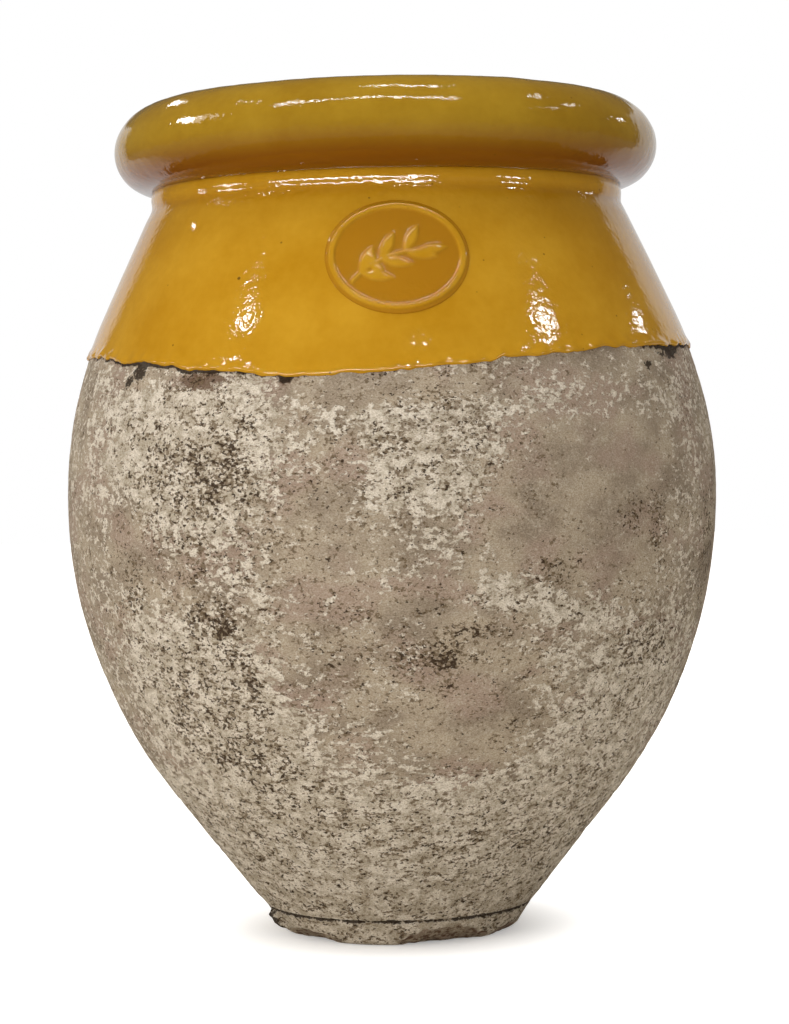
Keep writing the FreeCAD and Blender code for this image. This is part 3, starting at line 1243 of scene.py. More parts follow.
@dataclass(frozen=True)
class ShoulderGlaze:
    """The glaze coat on the shoulder and collar, with a thick rolled lip along its ragged lower edge."""

    form: JarForm
    edge: GlazeEdge
    steps: int = 720
    row: float = 2.4 * MM
    lip_row: float = 0.9 * MM
    collar_row: float = 1.2 * MM
    inner_row: float = 9 * MM
    thickness: float = 1.2 * MM
    collar_thickness: float = 0.4 * MM
    slope_extra: float = 0.4 * MM
    bed: float = 0.1 * MM
    fillet: float = 1.2 * MM
    collar_blur: float = 1.6 * MM
    lip_extra: float = 1.0 * MM
    lip_round: float = 2.2 * MM
    lip_middle: float = 3.0 * MM
    lip_spread: float = 4.5 * MM
    lip_zone: float = 12 * MM
    slide_zone: float = 80 * MM
    lump_size: float = 9 * MM
    lump_share: float = 0.7
    collar_blend: float = 12 * MM
    collar_zone: float = 10 * MM
    blur_drop: Pair = (30 * MM, 15 * MM)
    blur_window: float = 4.0
    samples: int = 1500
    row_samples: int = 500
    skin_from: float = 0.25 * MM
    crease_drop: Pair = (4 * MM, 1 * MM)
    joint_drop: float = 3 * MM
    joint_reach: float = 6 * MM
    joint_least: float = 0.25
    joint_turns: int = 3
    joint_turn: float = 40.0
    joint_fade: Pair = (-0.4, 0.8)
    # The pool mark darkens the glaze in the hollow below the bead and in the crease under the rim: pooled
    # glaze and painted shade.
    hollow_drop: float = 1 * MM
    hollow_reach: float = 5 * MM
    hollow_pool_and_shade: float = 0.4
    crease_reach: float = 3 * MM
    crease_pool_and_shade: float = 0.6
    ripple: Relief = Relief("glaze_ripple", 34 * MM, 0.45 * MM)
    peel: Relief = Relief("glaze_peel", 8 * MM, 0.12 * MM)
    tool_marks: Relief = Relief("collar_tool_marks", 4 * MM, 1.3 * MM, 3, level=0.35)

    def offset(self, above: Array) -> Array:
        """Thickness at distances above the lower edge: full on the slope and thin on the collar.

        Args:
            above: Distances above the lower edge.

        Returns:
            The thicknesses.
        """
        slope = self.form.neck_height - self.edge.height
        lip = self.lip_extra * bell(above, self.lip_middle, self.lip_spread)
        thick = self.thickness + lip + self.slope_extra * np.sin(math.pi * np.clip(above / slope, 0, 1)) ** 2
        thick += (self.collar_thickness - self.thickness) * fade(above, slope - self.collar_blend, slope)
        missing = np.clip(1 - above / self.lip_round, 0, 1)
        return self.bed + (thick - self.bed) * np.sqrt(1 - missing**2)

    def outline(self) -> Outline:
        """Draws the coat's section, up its outside and down its bed on the clay.

        Returns:
            Its points as rows of radius and height.
        """
        form = self.form
        base = self.edge.height
        heights = np.linspace(base, form.crease_height, self.samples)
        radii = form.coat_radius(heights, self.offset(heights - base), self.fillet)
        window = self.blur_window * self.collar_blur
        reach = np.arange(-window, window, heights[1] - heights[0])
        weights = np.exp(-((reach / self.collar_blur) ** 2) / 2)
        soft = np.convolve(np.pad(radii, len(reach) // 2, "edge"), weights / weights.sum(), "same")
        soft = soft[len(reach) // 2:][:len(radii)]
        near = fade(heights, *[form.neck_height - drop for drop in self.blur_drop])
        radii = radii + near * np.maximum(soft - radii, 0.0)
        stops = [base, base + self.lip_zone, form.neck_height - self.collar_zone, form.crease_height]
        outside = []
        for low, high, row in zip(stops, stops[1:], (self.lip_row, self.row, self.collar_row)):
            rows = np.linspace(low, high, self.row_samples)
            outside.append(evenly(np.column_stack([np.interp(rows, heights, radii), rows]), row))
        heights = np.linspace(form.crease_height, base, self.row_samples)
        bed = evenly(np.column_stack([form.coat_radius(heights, self.bed, 0.0), heights]), self.inner_row)
        return stitched(*outside, bed, outside[0][:1])

    def run_down(self, coat: Piece) -> None:
        """Lets the lower edge sag and gather in lumps.

        Args:
            coat: The coat.
        """
        bearing, radius, height = around(points_of(coat))
        out = radius - self.form.coat_radius(height, 0.0, 0.0)
        held = fade(height, self.edge.height, self.edge.height + self.slide_zone)
        low = self.edge.at(bearing) + height - self.edge.height
        height = low + held * (height - low)
        lip = 1 - fade(height - self.edge.at(bearing), 0.0, self.lip_zone)
        out *= 1 + lip * self.lump_share * lumps(points_of(coat), self.lump_size)
        put_points(coat, from_around(bearing, self.form.coat_radius(height, 0.0, 0.0) + out, height))

    def build(self) -> Piece:
        """Throws the coat, lets it run and presses its unevenness in.

        Returns:
            The coat.
        """
        coat = throw("glaze_shoulder", self.outline(), self.steps)
        self.run_down(coat)
        bearing, radius, height = around(points_of(coat))
        form = self.form
        skin = radius - form.coat_radius(height, 0.0, 0.0) > self.skin_from
        free = skin * (1 - fade(height, *[form.crease_height - drop for drop in self.crease_drop]))
        self.ripple.press(coat, paint_zone(coat, "skin", free))
        self.peel.press(coat, "skin")
        joint = bell(height, form.neck_height - self.joint_drop, self.joint_reach)
        wave = fade(np.cos(np.radians(self.joint_turns * bearing + self.joint_turn)), *self.joint_fade)
        some = self.joint_least + (1 - self.joint_least) * wave
        self.tool_marks.press(coat, paint_zone(coat, "joint", free * joint * some))
        # Pooled glaze and painted shade in the hollow below the bead and in the crease under the rim.
        hollow = bell(height, form.neck_height - self.hollow_drop, self.hollow_reach)
        crease = fade(height, form.crease_height - self.crease_reach, form.crease_height)
        keep_mark(coat, Mark.POOL, np.clip(self.hollow_pool_and_shade * hollow + self.crease_pool_and_shade * crease, 0, 1))
        smooth(coat)
        return coat

    def dress(self, coat: Piece, glaze: Material) -> None:
        """Finishes the coat in glaze."""
        dress(coat, Slot.GLAZE, glaze)
        seat(coat, "shoulder_glaze")


@dataclass(frozen=True)
class RimGlaze:
    """The glaze coat over the rolled rim and down the throat."""

    form: JarForm
    steps: int = 720
    row: float = 2.1 * MM
    inner_row: float = 9 * MM
    thickness: float = 1.2 * MM
    bed: float = 0.1 * MM
    edge_lift: float = 5 * MM
    edge_wave: float = 3 * MM
    edge_wave_size: float = 30 * MM
    edge_wave_reach: float = 40 * MM
    skin_from: float = 0.6 * MM
    crease_lift: Pair = (1 * MM, 6 * MM)
    # Height band above the crease in which the rim's underside is painted darker.
    pool_and_shade_lift: Pair = (4 * MM, 34 * MM)
    roll_points: int = 200
    crown_points: int = 120
    ripple: Relief = Relief("rim_ripple", 34 * MM, 0.9 * MM)
    peel: Relief = Relief("rim_peel", 8 * MM, 0.2 * MM)

    def side(self, offset: float, foot: float, row: float) -> Outline:
        """Draws the rim's outline at an offset, from the crease over the crown to the foot of the coat.

        Args:
            offset: Distance of the outline from the clay.
            foot: Height of the coat's lower edge in the throat.
            row: Distance between points.

        Returns:
            Its points as rows of radius and height.
        """
        form = self.form
        roll = form.rim_roll + offset
        crease = math.degrees(math.acos((form.neck_radius + offset - form.rim_centre[0]) / roll))
        outside = arc(form.rim_centre, roll, -crease, form.crown_angle, self.roll_points)
        crown = arc(form.crown_centre, form.crown_radius + offset, form.crown_angle, 90, self.crown_points)
        lip = arc(form.lip_centre, form.lip_radius + offset, 90, 180)
        throat = (form.throat_radius - offset, foot)
        return evenly(stitched(outside, crown, lip, throat), row)

    def outline(self) -> Outline:
        """Draws the coat's section, over its outside and back along its bed on the clay.

        Returns:
            Its points as rows of radius and height.
        """
        foot = self.form.throat_foot + self.edge_lift
        outside = self.side(self.thickness, foot + self.thickness, self.row)
        bed = self.side(self.bed, foot, self.inner_row)[::-1]
        return stitched(outside, bed, outside[:1])

    def build(self) -> Piece:
        """Throws the coat, waves its lower edge and presses its unevenness in.

        Returns:
            The coat.
        """
        form = self.form
        coat = throw("glaze_rim", self.outline(), self.steps)
        points = points_of(coat)
        bearing, radius, height = around(points)
        low = 1 - fade(height, form.throat_foot, form.throat_foot + self.edge_wave_reach)
        throat = low * (radius < form.rim_centre[0])
        wave = lumps(from_around(bearing, form.throat_radius, 0.0), self.edge_wave_size)
        put_points(coat, points + np.outer(throat * wave * self.edge_wave, (0, 0, 1)))
        skin = form.rim_offset(radius, height) > self.skin_from
        free = skin * fade(height - form.crease_height, *self.crease_lift)
        self.ripple.press(coat, paint_zone(coat, "skin", free))
        self.peel.press(coat, "skin")
        # The rim's underside is painted darker: pooled glaze at the crease and painted shade under the roll.
        under = 1 - fade(height - form.crease_height, *self.pool_and_shade_lift)
        keep_mark(coat, Mark.POOL, under * (radius > form.neck_radius - form.rim_overhang / 2))
        smooth(coat)
        return coat

    def dress(self, coat: Piece, glaze: Material) -> None:
        """Finishes the coat in glaze."""
        dress(coat, Slot.GLAZE, glaze)
        seat(coat, "rim_glaze")


@dataclass(frozen=True)
class Seal:
    """The oval seal sprigged on the shoulder: a ring and an olive sprig, flooded with glaze.

    It is modelled flat, with X along the wall, Y up the slope and Z outwards, and then laid on the shoulder.
    The crowns are shares of a half width by which the top of a leaf or the stem is drawn in.
    """

    form: JarForm
    width: float = 104 * MM
    length: float = 92 * MM
    rise: float = 174 * MM
    turn: float = 2.0
    ground: float = 2.4 * MM
    relief: float = 1.6 * MM
    root: float = 1.5 * MM
    ring_inset: float = 3 * MM
    ring_width: float = 4 * MM
    stem_width: float = 2.6 * MM
    stem_length: float = 54 * MM
    stem_bow: float = 6 * MM
    stem_tilt: float = 28.0
    leaf_length: float = 24 * MM
    leaf_width: float = 8 * MM
    leaf_spread: float = 38.0
    leaf_pairs: int = 3
    olive_length: float = 11 * MM
    olive_width: float = 8 * MM
    sides: int = 180
    samples: int = 2000
    ring_from: float = 0.9
    side_points: int = 13
    leaf_fullness: float = 0.85
    leaf_crown: float = 0.28
    stem_crown: float = 0.3
    upright_share: float = 0.5
    olive_sides: tuple[int, int] = (32, 16)
    olive_proud: float = 1.25
    olive_back: float = 0.1
    grain: float = 0.75 * MM
    soften: float = 0.5
    soften_rounds: int = 5
    pool_depth: Pair = (-0.2, 0.75)

    def stem_point(self, share: float, aside: float = 0.0) -> Vector:
        """A place on the bowed stem, by its share of the length from the middle and a distance aside."""
        bow = self.stem_bow * (1 - 4 * share**2) - self.stem_bow / 2
        return Vector((share * self.stem_length, bow + aside, 0))

    def laid(self, place: Vector) -> Vector:
        """Turns a place of the sprig to the sprig's tilt on the seal."""
        shifted = place - Vector((self.leaf_length / 2, 0, 0))
        return Euler((0, 0, math.radians(self.stem_tilt))).to_matrix() @ shifted

    def pad(self) -> Piece:
        """Models the oval pad with its raised ring.

        Returns:
            The pad.
        """
        depth = self.ground + self.root
        bpy.ops.object.select_all(action="DESELECT")
        bpy.ops.mesh.primitive_cylinder_add(vertices=self.sides, radius=1, depth=depth,
                                            location=(0, 0, self.ground - depth / 2))
        pad = bpy.context.object
        pad.scale = (self.width / 2, self.length / 2, 1)
        bpy.ops.object.transform_apply(location=True, rotation=True, scale=True)
        open_mesh(pad, points_of(pad)[:, 2] > 0)
        bpy.ops.mesh.select_mode(type="FACE")
        bpy.ops.mesh.inset(thickness=self.ring_inset)
        bpy.ops.mesh.inset(thickness=self.ring_width)
        close_mesh()
        centres = centres_of(pad)
        share = np.hypot(centres[:, 0] / (self.width / 2), centres[:, 1] / (self.length / 2))
        inner = 1 - (self.ring_inset + self.ring_width) / (self.length / 2)
        outer = 1 - self.ring_inset / (self.width / 2)
        top = centres[:, 2] > self.ring_from * self.ground
        open_mesh(pad, top & (share > inner) & (share < outer), "FACE")
        bpy.ops.mesh.extrude_region_move(TRANSFORM_OT_translate={"value": (0, 0, self.relief)})
        close_mesh()
        return pad

    def plate(self, name: str, outline: list[Vector], crown: float) -> Piece:
        """Models a flat shape of the sprig with a crowned top.

        Args:
            name: Name of the shape.
            outline: Its corners in order.
            crown: How far its top is drawn in.

        Returns:
            The shape, from inside the pad up to the height of the relief.
        """
        low = Vector((0, 0, self.ground - self.root))
        shape = draw_line(name, [place + low for place in (*outline, outline[0])])
        bpy.ops.mesh.edge_face_add()
        upright = self.upright_share * self.relief
        bpy.ops.mesh.extrude_region_move(TRANSFORM_OT_translate={"value": (0, 0, self.root + upright)})
        bpy.ops.mesh.inset(thickness=crown)
        bpy.ops.transform.translate(value=(0, 0, self.relief - upright))
        bpy.ops.mesh.select_all(action="SELECT")
        bpy.ops.mesh.normals_make_consistent(inside=False)
        close_mesh()
        return shape

    def leaf(self, stalk: Vector, turn: float) -> Piece:
        """Models one pointed leaf.

        Args:
            stalk: Where it leaves the stem.
            turn: Its direction from the stem's, in degrees.

        Returns:
            The leaf.
        """
        half = self.leaf_width / 2
        shares = np.linspace(0, 1, self.side_points)
        swell = [half * math.sin(math.pi * share) ** self.leaf_fullness for share in shares]
        sides = [Vector((self.leaf_length * share, side, 0)) for share, side in zip(shares, swell)]
        back = [Vector((place.x, -place.y, 0)) for place in sides[-2:0:-1]]
        spin = Euler((0, 0, math.radians(turn))).to_matrix()
        outline = [self.laid(stalk + spin @ place) for place in sides + back]
        return self.plate("leaf", outline, self.leaf_crown * half)

    def stem(self) -> Piece:
        """Models the bowed stem.

        Returns:
            The stem.
        """
        half = self.stem_width / 2
        shares = np.linspace(-0.5, 0.5, self.side_points)
        far = [self.laid(self.stem_point(share, half)) for share in shares]
        near = [self.laid(self.stem_point(share, -half)) for share in shares[::-1]]
        return self.plate("stem", far + near, self.stem_crown * half)

    def olive(self, share: float, side: int) -> Piece:
        """Models one olive beside the stem, half sunk into the pad.

        Args:
            share: Its place on the stem, as a share of the length from the middle.
            side: 1 or -1 for the two sides of the stem.

        Returns:
            The olive.
        """
        aside = side * (self.stem_width + self.olive_width) / 2
        place = self.laid(self.stem_point(share, aside)) + Vector((0, 0, self.ground))
        bpy.ops.object.select_all(action="DESELECT")
        sides, rings = self.olive_sides
        bpy.ops.mesh.primitive_uv_sphere_add(segments=sides, ring_count=rings, radius=1, location=place)
        olive = bpy.context.object
        olive.scale = (self.olive_width / 2, self.olive_length / 2, self.relief * self.olive_proud)
        olive.rotation_euler = (0, 0, math.radians(self.stem_tilt))
        bpy.ops.object.transform_apply(location=True, rotation=True, scale=True)
        return olive

    def sprig(self) -> list[Piece]:
        """Models the stem, its leaves in pairs with one at the tip, and the olives.

        Returns:
            The shapes.
        """
        tip = self.stem_point(0.5) - Vector((self.stem_width, 0, 0))
        parts = [self.stem(), self.leaf(tip, -self.leaf_spread / 2)]
        for pair in range(self.leaf_pairs):
            share = (pair + 0.5) / self.leaf_pairs - 0.5
            for side in (1, -1):
                parts.append(self.leaf(self.stem_point(share), side * self.leaf_spread))
                if pair % 2:
                    parts.append(self.olive(share - self.olive_back, side))
        return parts

    def lay_on_shoulder(self, seal: Piece) -> None:
        """Bends the flat seal round the shoulder.

        Args:
            seal: The flat seal.
        """
        form = self.form
        aside, up, out = points_of(seal).T
        heights = np.linspace(form.belly_height, form.neck_height, self.samples)
        outline = np.column_stack([form.radius(heights), heights])
        along = np.concatenate([[0.0], np.cumsum(np.hypot(*np.diff(outline, axis=0).T))])
        middle = np.interp(form.belly_height + self.rise, heights, along)
        height = np.interp(middle + up, along, heights)
        lean = form.lean_at(height)
        radius = form.radius(height)
        bearing = self.turn + np.degrees(aside / radius)
        put_points(seal, from_around(bearing, radius + out * np.cos(lean), height + out * np.sin(lean)))

    def build(self) -> Piece:
        """Joins the pad and the sprig, floods them with glaze and lays them on the shoulder.

        Returns:
            The seal.
        """
        seal = self.pad()
        parts = self.sprig()
        pick(seal)
        for part in parts:
            part.select_set(True)
        bpy.ops.object.join()
        seal.name = seal.data.name = "glazed_seal"
        modify(seal, "REMESH", mode="VOXEL", voxel_size=self.grain)
        modify(seal, "SMOOTH", factor=self.soften, iterations=self.soften_rounds)
        proud = (points_of(seal)[:, 2] - self.ground) / self.relief
        keep_mark(seal, Mark.POOL, 1 - fade(proud, *self.pool_depth))
        self.lay_on_shoulder(seal)
        smooth(seal, 180.0)
        return seal

    def dress(self, seal: Piece, glaze: Material) -> None:
        """Finishes the seal in glaze."""
        dress(seal, Slot.GLAZE, glaze)
        seat(seal, "seal_pad")


@dataclass(frozen=True)
class LimewashedTerracotta:
    """Fired earthenware under an old limewash, rubbed thin and weathered out of doors.

    It gives the eye a matt, chalky, granular skin: taupe wash where it is rubbed, cream flakes where the
    lime is thick, and dark dirt and painted shade in the pits between the flakes. The grain is squashed a
    little in height.
    """

    name: str = "limewashed_terracotta"
    wash_dark: str = "#9B8D7C"
    wash_pale: str = "#BBAD99"
    wash_pink: str = "#AD988A"
    # Brown between the flakes: dirt, and painted shade in the crevices.
    gap: str = "#776A5B"
    lime_dull: str = "#BEB3A1"
    lime_bright: str = "#E6DDCF"
    haze: str = "#CBC0AF"
    fleck: str = "#76654F"
    dirt: str = "#443528"
    rust: str = "#62432C"
    # Colour of stains, which also paints the shadow under the glaze's lip.
    stain_and_shadow: str = "#32261C"
    damp: str = "#DACEB8"
    roughness: float = 0.92
    specular: float = 0.25
    relief: float = 0.7 * MM
    bump: float = 0.55
    squash: float = 1.4
    lime_height: float = 1.6
    dirt_height: float = -1.5
    shade_height: float = 0.5

    def grains(self) -> dict[str, tuple[float, float, float]]:
        """Lists the noises that the finish is made from.

        Returns:
            Width of the grain, detail and roughness of each noise, by its name.
        """
        return {
            "tone": (42 * MM, 3.0, 0.55),
            "pink": (60 * MM, 2.0, 0.5),
            "blotch": (22 * MM, 4.0, 0.6),
            "flake": (5.5 * MM, 3.0, 0.6),
            "crumb": (2.4 * MM, 2.0, 0.6),
            "shade": (11 * MM, 3.0, 0.55),
            "fleck": (3.6 * MM, 2.0, 0.6),
            "cluster": (15 * MM, 3.0, 0.6),
            "speck": (3.1 * MM, 2.0, 0.5),
            "grain": (1.3 * MM, 1.0, 0.6),
        }

    def material(self) -> Material:
        """Builds the finish from the marks of the weathering and a few noises.

        Returns:
            The material.
        """
        material, tree = new_material(self.name)
        place = add_node(tree, "ShaderNodeTexCoord", out="Object")
        flat = add_node(tree, "ShaderNodeMapping", {"Vector": place, "Scale": (1.0, 1.0, self.squash)})
        mark = {
            kind: add_node(tree, "ShaderNodeAttribute", out="Fac", attribute_name=kind.value)
            for kind in (Mark.LIME, Mark.GRIME, Mark.RUST, Mark.STAIN, Mark.DAMP, Mark.CRUST)
        }
        grain = {
            name: add_node(tree, "ShaderNodeTexNoise",
                           {"Vector": flat, "Scale": 1 / size, "Detail": detail, "Roughness": rough})
            for name, (size, detail, rough) in self.grains().items()
        }
        level = {}
        for name, terms in {
            "cover": ((mark[Mark.LIME], 1.0), (grain["blotch"], 0.5), (mark[Mark.CRUST], 0.08)),
            "flakes": ((grain["flake"], 0.85), (grain["crumb"], 0.3)),
            "shade": ((grain["shade"], 0.75), (grain["crumb"], 0.25)),
            "haze": ((grain["shade"], 0.4), (grain["crumb"], 0.6)),
            "fleck": ((grain["fleck"], 1.0), (mark[Mark.GRIME], 0.22), (grain["cluster"], 0.4)),
            "dirt": ((grain["speck"], 1.0), (mark[Mark.GRIME], 0.25), (grain["cluster"], 0.42)),
            "rust": ((mark[Mark.RUST], 1.0), (grain["flake"], 1.6), (grain["cluster"], 0.6)),
            "stain_and_shadow": ((mark[Mark.STAIN], 1.0), (grain["flake"], 1.0), (grain["crumb"], 0.8),
                      (grain["cluster"], 0.6)),
        }.items():
            for source, weight in terms:
                feeds = {0: source, 1: weight, 2: level.get(name, 0.0)}
                level[name] = add_node(tree, "ShaderNodeMath", feeds, operation="MULTIPLY_ADD")
        level["lime"] = add_node(tree, "ShaderNodeMath", {0: level["cover"], 1: level["flakes"]},
                                 operation="ADD")
        share = {
            name: add_node(tree, "ShaderNodeMapRange",
                           {"Value": value, "From Min": low, "From Max": high, "To Max": most},
                           interpolation_type="SMOOTHSTEP")
            for name, (value, low, high, most) in {
                "tone": (grain["tone"], 0.35, 0.65, 1.0),
                "pink": (grain["pink"], 0.48, 0.62, 0.7),
                "haze": (level["haze"], 0.48, 0.64, 0.5),
                # Painted shade and dirt between the flakes, where the lime lies thick.
                "gap": (level["cover"], 0.54, 0.80, 0.8),
                "lime": (level["lime"], 1.09, 1.21, 0.97),
                "fleck": (level["fleck"], 0.85, 0.95, 0.85),
                "shade": (level["shade"], 0.40, 0.60, 1.0),
                "dirt": (level["dirt"], 0.962, 1.03, 0.94),
                "rust": (level["rust"], 1.72, 2.00, 0.85),
                "stain_and_shadow": (level["stain_and_shadow"], 1.66, 1.84, 0.92),
                "damp": (mark[Mark.DAMP], 0.0, 1.0, 0.12),
                "grain": (grain["grain"], 0.35, 0.65, 0.6),
            }.items()
        }
        lime = add_node(tree, "ShaderNodeMix", {0: share["shade"], 6: linear(self.lime_dull),
                                                7: linear(self.lime_bright)}, 2, data_type="RGBA")
        colour = linear(self.wash_dark)
        layers = [
            ("tone", linear(self.wash_pale), "MIX"),
            ("pink", linear(self.wash_pink), "MIX"),
            ("haze", linear(self.haze), "MIX"),
            # Painted shade and dirt between the flakes.
            ("gap", linear(self.gap), "MIX"),
            ("lime", lime, "MIX"),
            ("rust", linear(self.rust), "MIX"),
            ("fleck", linear(self.fleck), "MIX"),
            ("dirt", linear(self.dirt), "MIX"),
            # Stains, and the painted shadow under the glaze's lip.
            ("stain_and_shadow", linear(self.stain_and_shadow), "MIX"),
            ("damp", linear(self.damp), "MULTIPLY"),
            ("grain", linear(self.haze), "MULTIPLY"),
        ]
        for name, over, blend in layers:
            colour = add_node(tree, "ShaderNodeMix", {0: share[name], 6: colour, 7: over}, 2,
                              data_type="RGBA", blend_type=blend)
        height = grain["grain"]
        heights = {"lime": self.lime_height, "dirt": self.dirt_height, "shade": self.shade_height}
        for name, weight in heights.items():
            height = add_node(tree, "ShaderNodeMath", {0: share[name], 1: weight, 2: height},
                              operation="MULTIPLY_ADD")
        normal = add_node(tree, "ShaderNodeBump", {"Strength": self.bump, "Distance": self.relief,
                                                   "Height": height})
        shader = add_node(tree, "ShaderNodeBsdfPrincipled", {
            "Base Color": colour, "Roughness": self.roughness, "Specular IOR Level": self.specular,
            "Normal": normal})
        add_node(tree, "ShaderNodeOutputMaterial", {"Surface": shader})
        return material


@dataclass(frozen=True)
class RawTerracotta:
    """Bare fired earthenware from the wheel: matt, warm, a little sandy, with grog and pale smears of slip.

    The slip and the grog each show between two levels of their noise, up to a share.
    """

    name: str = "raw_terracotta"
    deep: str = "#96674A"
    pale: str = "#BC8D69"
    slip: str = "#C9A583"
    grog: str = "#7A5038"
    roughness: float = 0.88
    specular: float = 0.3
    tone_size: float = 45 * MM
    slip_size: float = 14 * MM
    grog_size: float = 2.5 * MM
    slip_levels: tuple[float, float, float] = (0.5, 0.7, 0.6)
    grog_levels: tuple[float, float, float] = (0.62, 0.72, 0.7)
    detail: float = 4.0
    squash: float = 3.0
    slip_height: float = 1.5
    relief: float = 0.4 * MM
    bump: float = 0.5

    def material(self) -> Material:
        """Builds the finish from three noises.

        Returns:
            The material.
        """
        material, tree = new_material(self.name)
        place = add_node(tree, "ShaderNodeTexCoord", out="Object")
        drawn = add_node(tree, "ShaderNodeMapping", {"Vector": place, "Scale": (1.0, 1.0, self.squash)})
        tone, slip, grog = [
            add_node(tree, "ShaderNodeTexNoise", {"Vector": drawn, "Scale": 1 / size, "Detail": self.detail})
            for size in (self.tone_size, self.slip_size, self.grog_size)
        ]
        layers = [(tone, self.pale)]
        for level, limits, over in ((slip, self.slip_levels, self.slip),
                                    (grog, self.grog_levels, self.grog)):
            feeds = dict(zip(("Value", "From Min", "From Max", "To Max"), (level, *limits)))
            layers.append((add_node(tree, "ShaderNodeMapRange", feeds), over))
        colour = linear(self.deep)
        for share, over in layers:
            feeds = {0: share, 6: colour, 7: linear(over)}
            colour = add_node(tree, "ShaderNodeMix", feeds, 2, data_type="RGBA")
        height = add_node(tree, "ShaderNodeMath", {0: slip, 1: self.slip_height, 2: grog},
                          operation="MULTIPLY_ADD")
        normal = add_node(tree, "ShaderNodeBump", {"Strength": self.bump, "Distance": self.relief,
                                                   "Height": height})
        shader = add_node(tree, "ShaderNodeBsdfPrincipled", {
            "Base Color": colour, "Roughness": self.roughness, "Specular IOR Level": self.specular,
            "Normal": normal})
        add_node(tree, "ShaderNodeOutputMaterial", {"Surface": shader})
        return material


@dataclass(frozen=True)
class HoneyGlaze:
    """Glossy yellow earthenware glaze, poured over clay and fired.

    It gives the eye a wet, glassy skin over honey colour, which is deeper where the glaze pools and where
    shade is painted under the rim and in the collar's hollows, faintly cloudy, and marked with pinholes and
    a few iron specks. The rough clay below leaves it slightly uneven.
    The size of a dot is a share of the gap between dots, and its soft edge a share of its size.
    """

    name: str
    deep: str
    pale: str
    # Colour of pooled glaze, which under the rim and on the collar also paints shade.
    pool_and_shade: str
    pinhole: str = "#6E4A0C"
    iron: str = "#3E2608"
    ior: float = 1.52
    roughness: float = 0.05
    cloud_size: float = 55 * MM
    mottle_size: float = 7 * MM
    peel_size: float = 5 * MM
    grit_size: float = 2.6 * MM
    pinhole_gap: float = 19 * MM
    pinhole_size: float = 0.034
    iron_gap: float = 60 * MM
    iron_size: float = 0.017
    dot_edge: float = 1.6
    dot_share: float = 0.75
    mottle: float = 0.35
    tones: Pair = (0.45, 0.9)
    detail: float = 2.0
    grit: float = 0.5
    relief: float = 0.35 * MM
    bump: float = 0.6

    def material(self) -> Material:
        """Builds the finish from noises, scattered dots and the mark of where the glaze pools.

        Returns:
            The material.
        """
        material, tree = new_material(self.name)
        place = add_node(tree, "ShaderNodeTexCoord", out="Object")
        # Pooled glaze, and painted shade on the rim's underside and in the collar's crease and hollow.
        pool_and_shade = add_node(tree, "ShaderNodeAttribute", out="Fac", attribute_name=Mark.POOL.value)
        cloud, mottle, peel, grit = [
            add_node(tree, "ShaderNodeTexNoise", {"Vector": place, "Scale": 1 / size, "Detail": self.detail})
            for size in (self.cloud_size, self.mottle_size, self.peel_size, self.grit_size)
        ]
        tone = add_node(tree, "ShaderNodeMath", {0: mottle, 1: self.mottle, 2: cloud},
                        operation="MULTIPLY_ADD")
        share = add_node(tree, "ShaderNodeMapRange", {"Value": tone, "From Min": self.tones[0],
                                                      "From Max": self.tones[1]})
        layers = [(share, self.pale), (pool_and_shade, self.pool_and_shade)]
        for gap, size, tint in ((self.pinhole_gap, self.pinhole_size, self.pinhole),
                                (self.iron_gap, self.iron_size, self.iron)):
            dots = add_node(tree, "ShaderNodeTexVoronoi", {"Vector": place, "Scale": 1 / gap})
            feeds = {"Value": dots, "From Min": size, "From Max": self.dot_edge * size,
                     "To Min": self.dot_share, "To Max": 0.0}
            layers.append((add_node(tree, "ShaderNodeMapRange", feeds), tint))
        colour = linear(self.deep)
        for part, tint in layers:
            feeds = {0: part, 6: colour, 7: linear(tint)}
            colour = add_node(tree, "ShaderNodeMix", feeds, 2, data_type="RGBA")
        height = add_node(tree, "ShaderNodeMath", {0: grit, 1: self.grit, 2: peel}, operation="MULTIPLY_ADD")
        normal = add_node(tree, "ShaderNodeBump", {"Strength": self.bump, "Distance": self.relief,
                                                   "Height": height})
        shader = add_node(tree, "ShaderNodeBsdfPrincipled", {
            "Base Color": colour, "Roughness": self.roughness, "IOR": self.ior, "Normal": normal})
        add_node(tree, "ShaderNodeOutputMaterial", {"Surface": shader})
        return material


def out_at(bearing: float, elevation: float, distance: float = LAMP_DISTANCE) -> tuple[float, ...]:
    """Place at a bearing, an elevation and a distance from the middle of the jar.

    Args:
        bearing: Bearing in degrees.
        elevation: Elevation in degrees.
        distance: Distance in metres.

    Returns:
        X, Y and Z of the place.
    """
    return tuple(Vector(JAR_MIDDLE) + distance * Vector(pointing(bearing, elevation)))


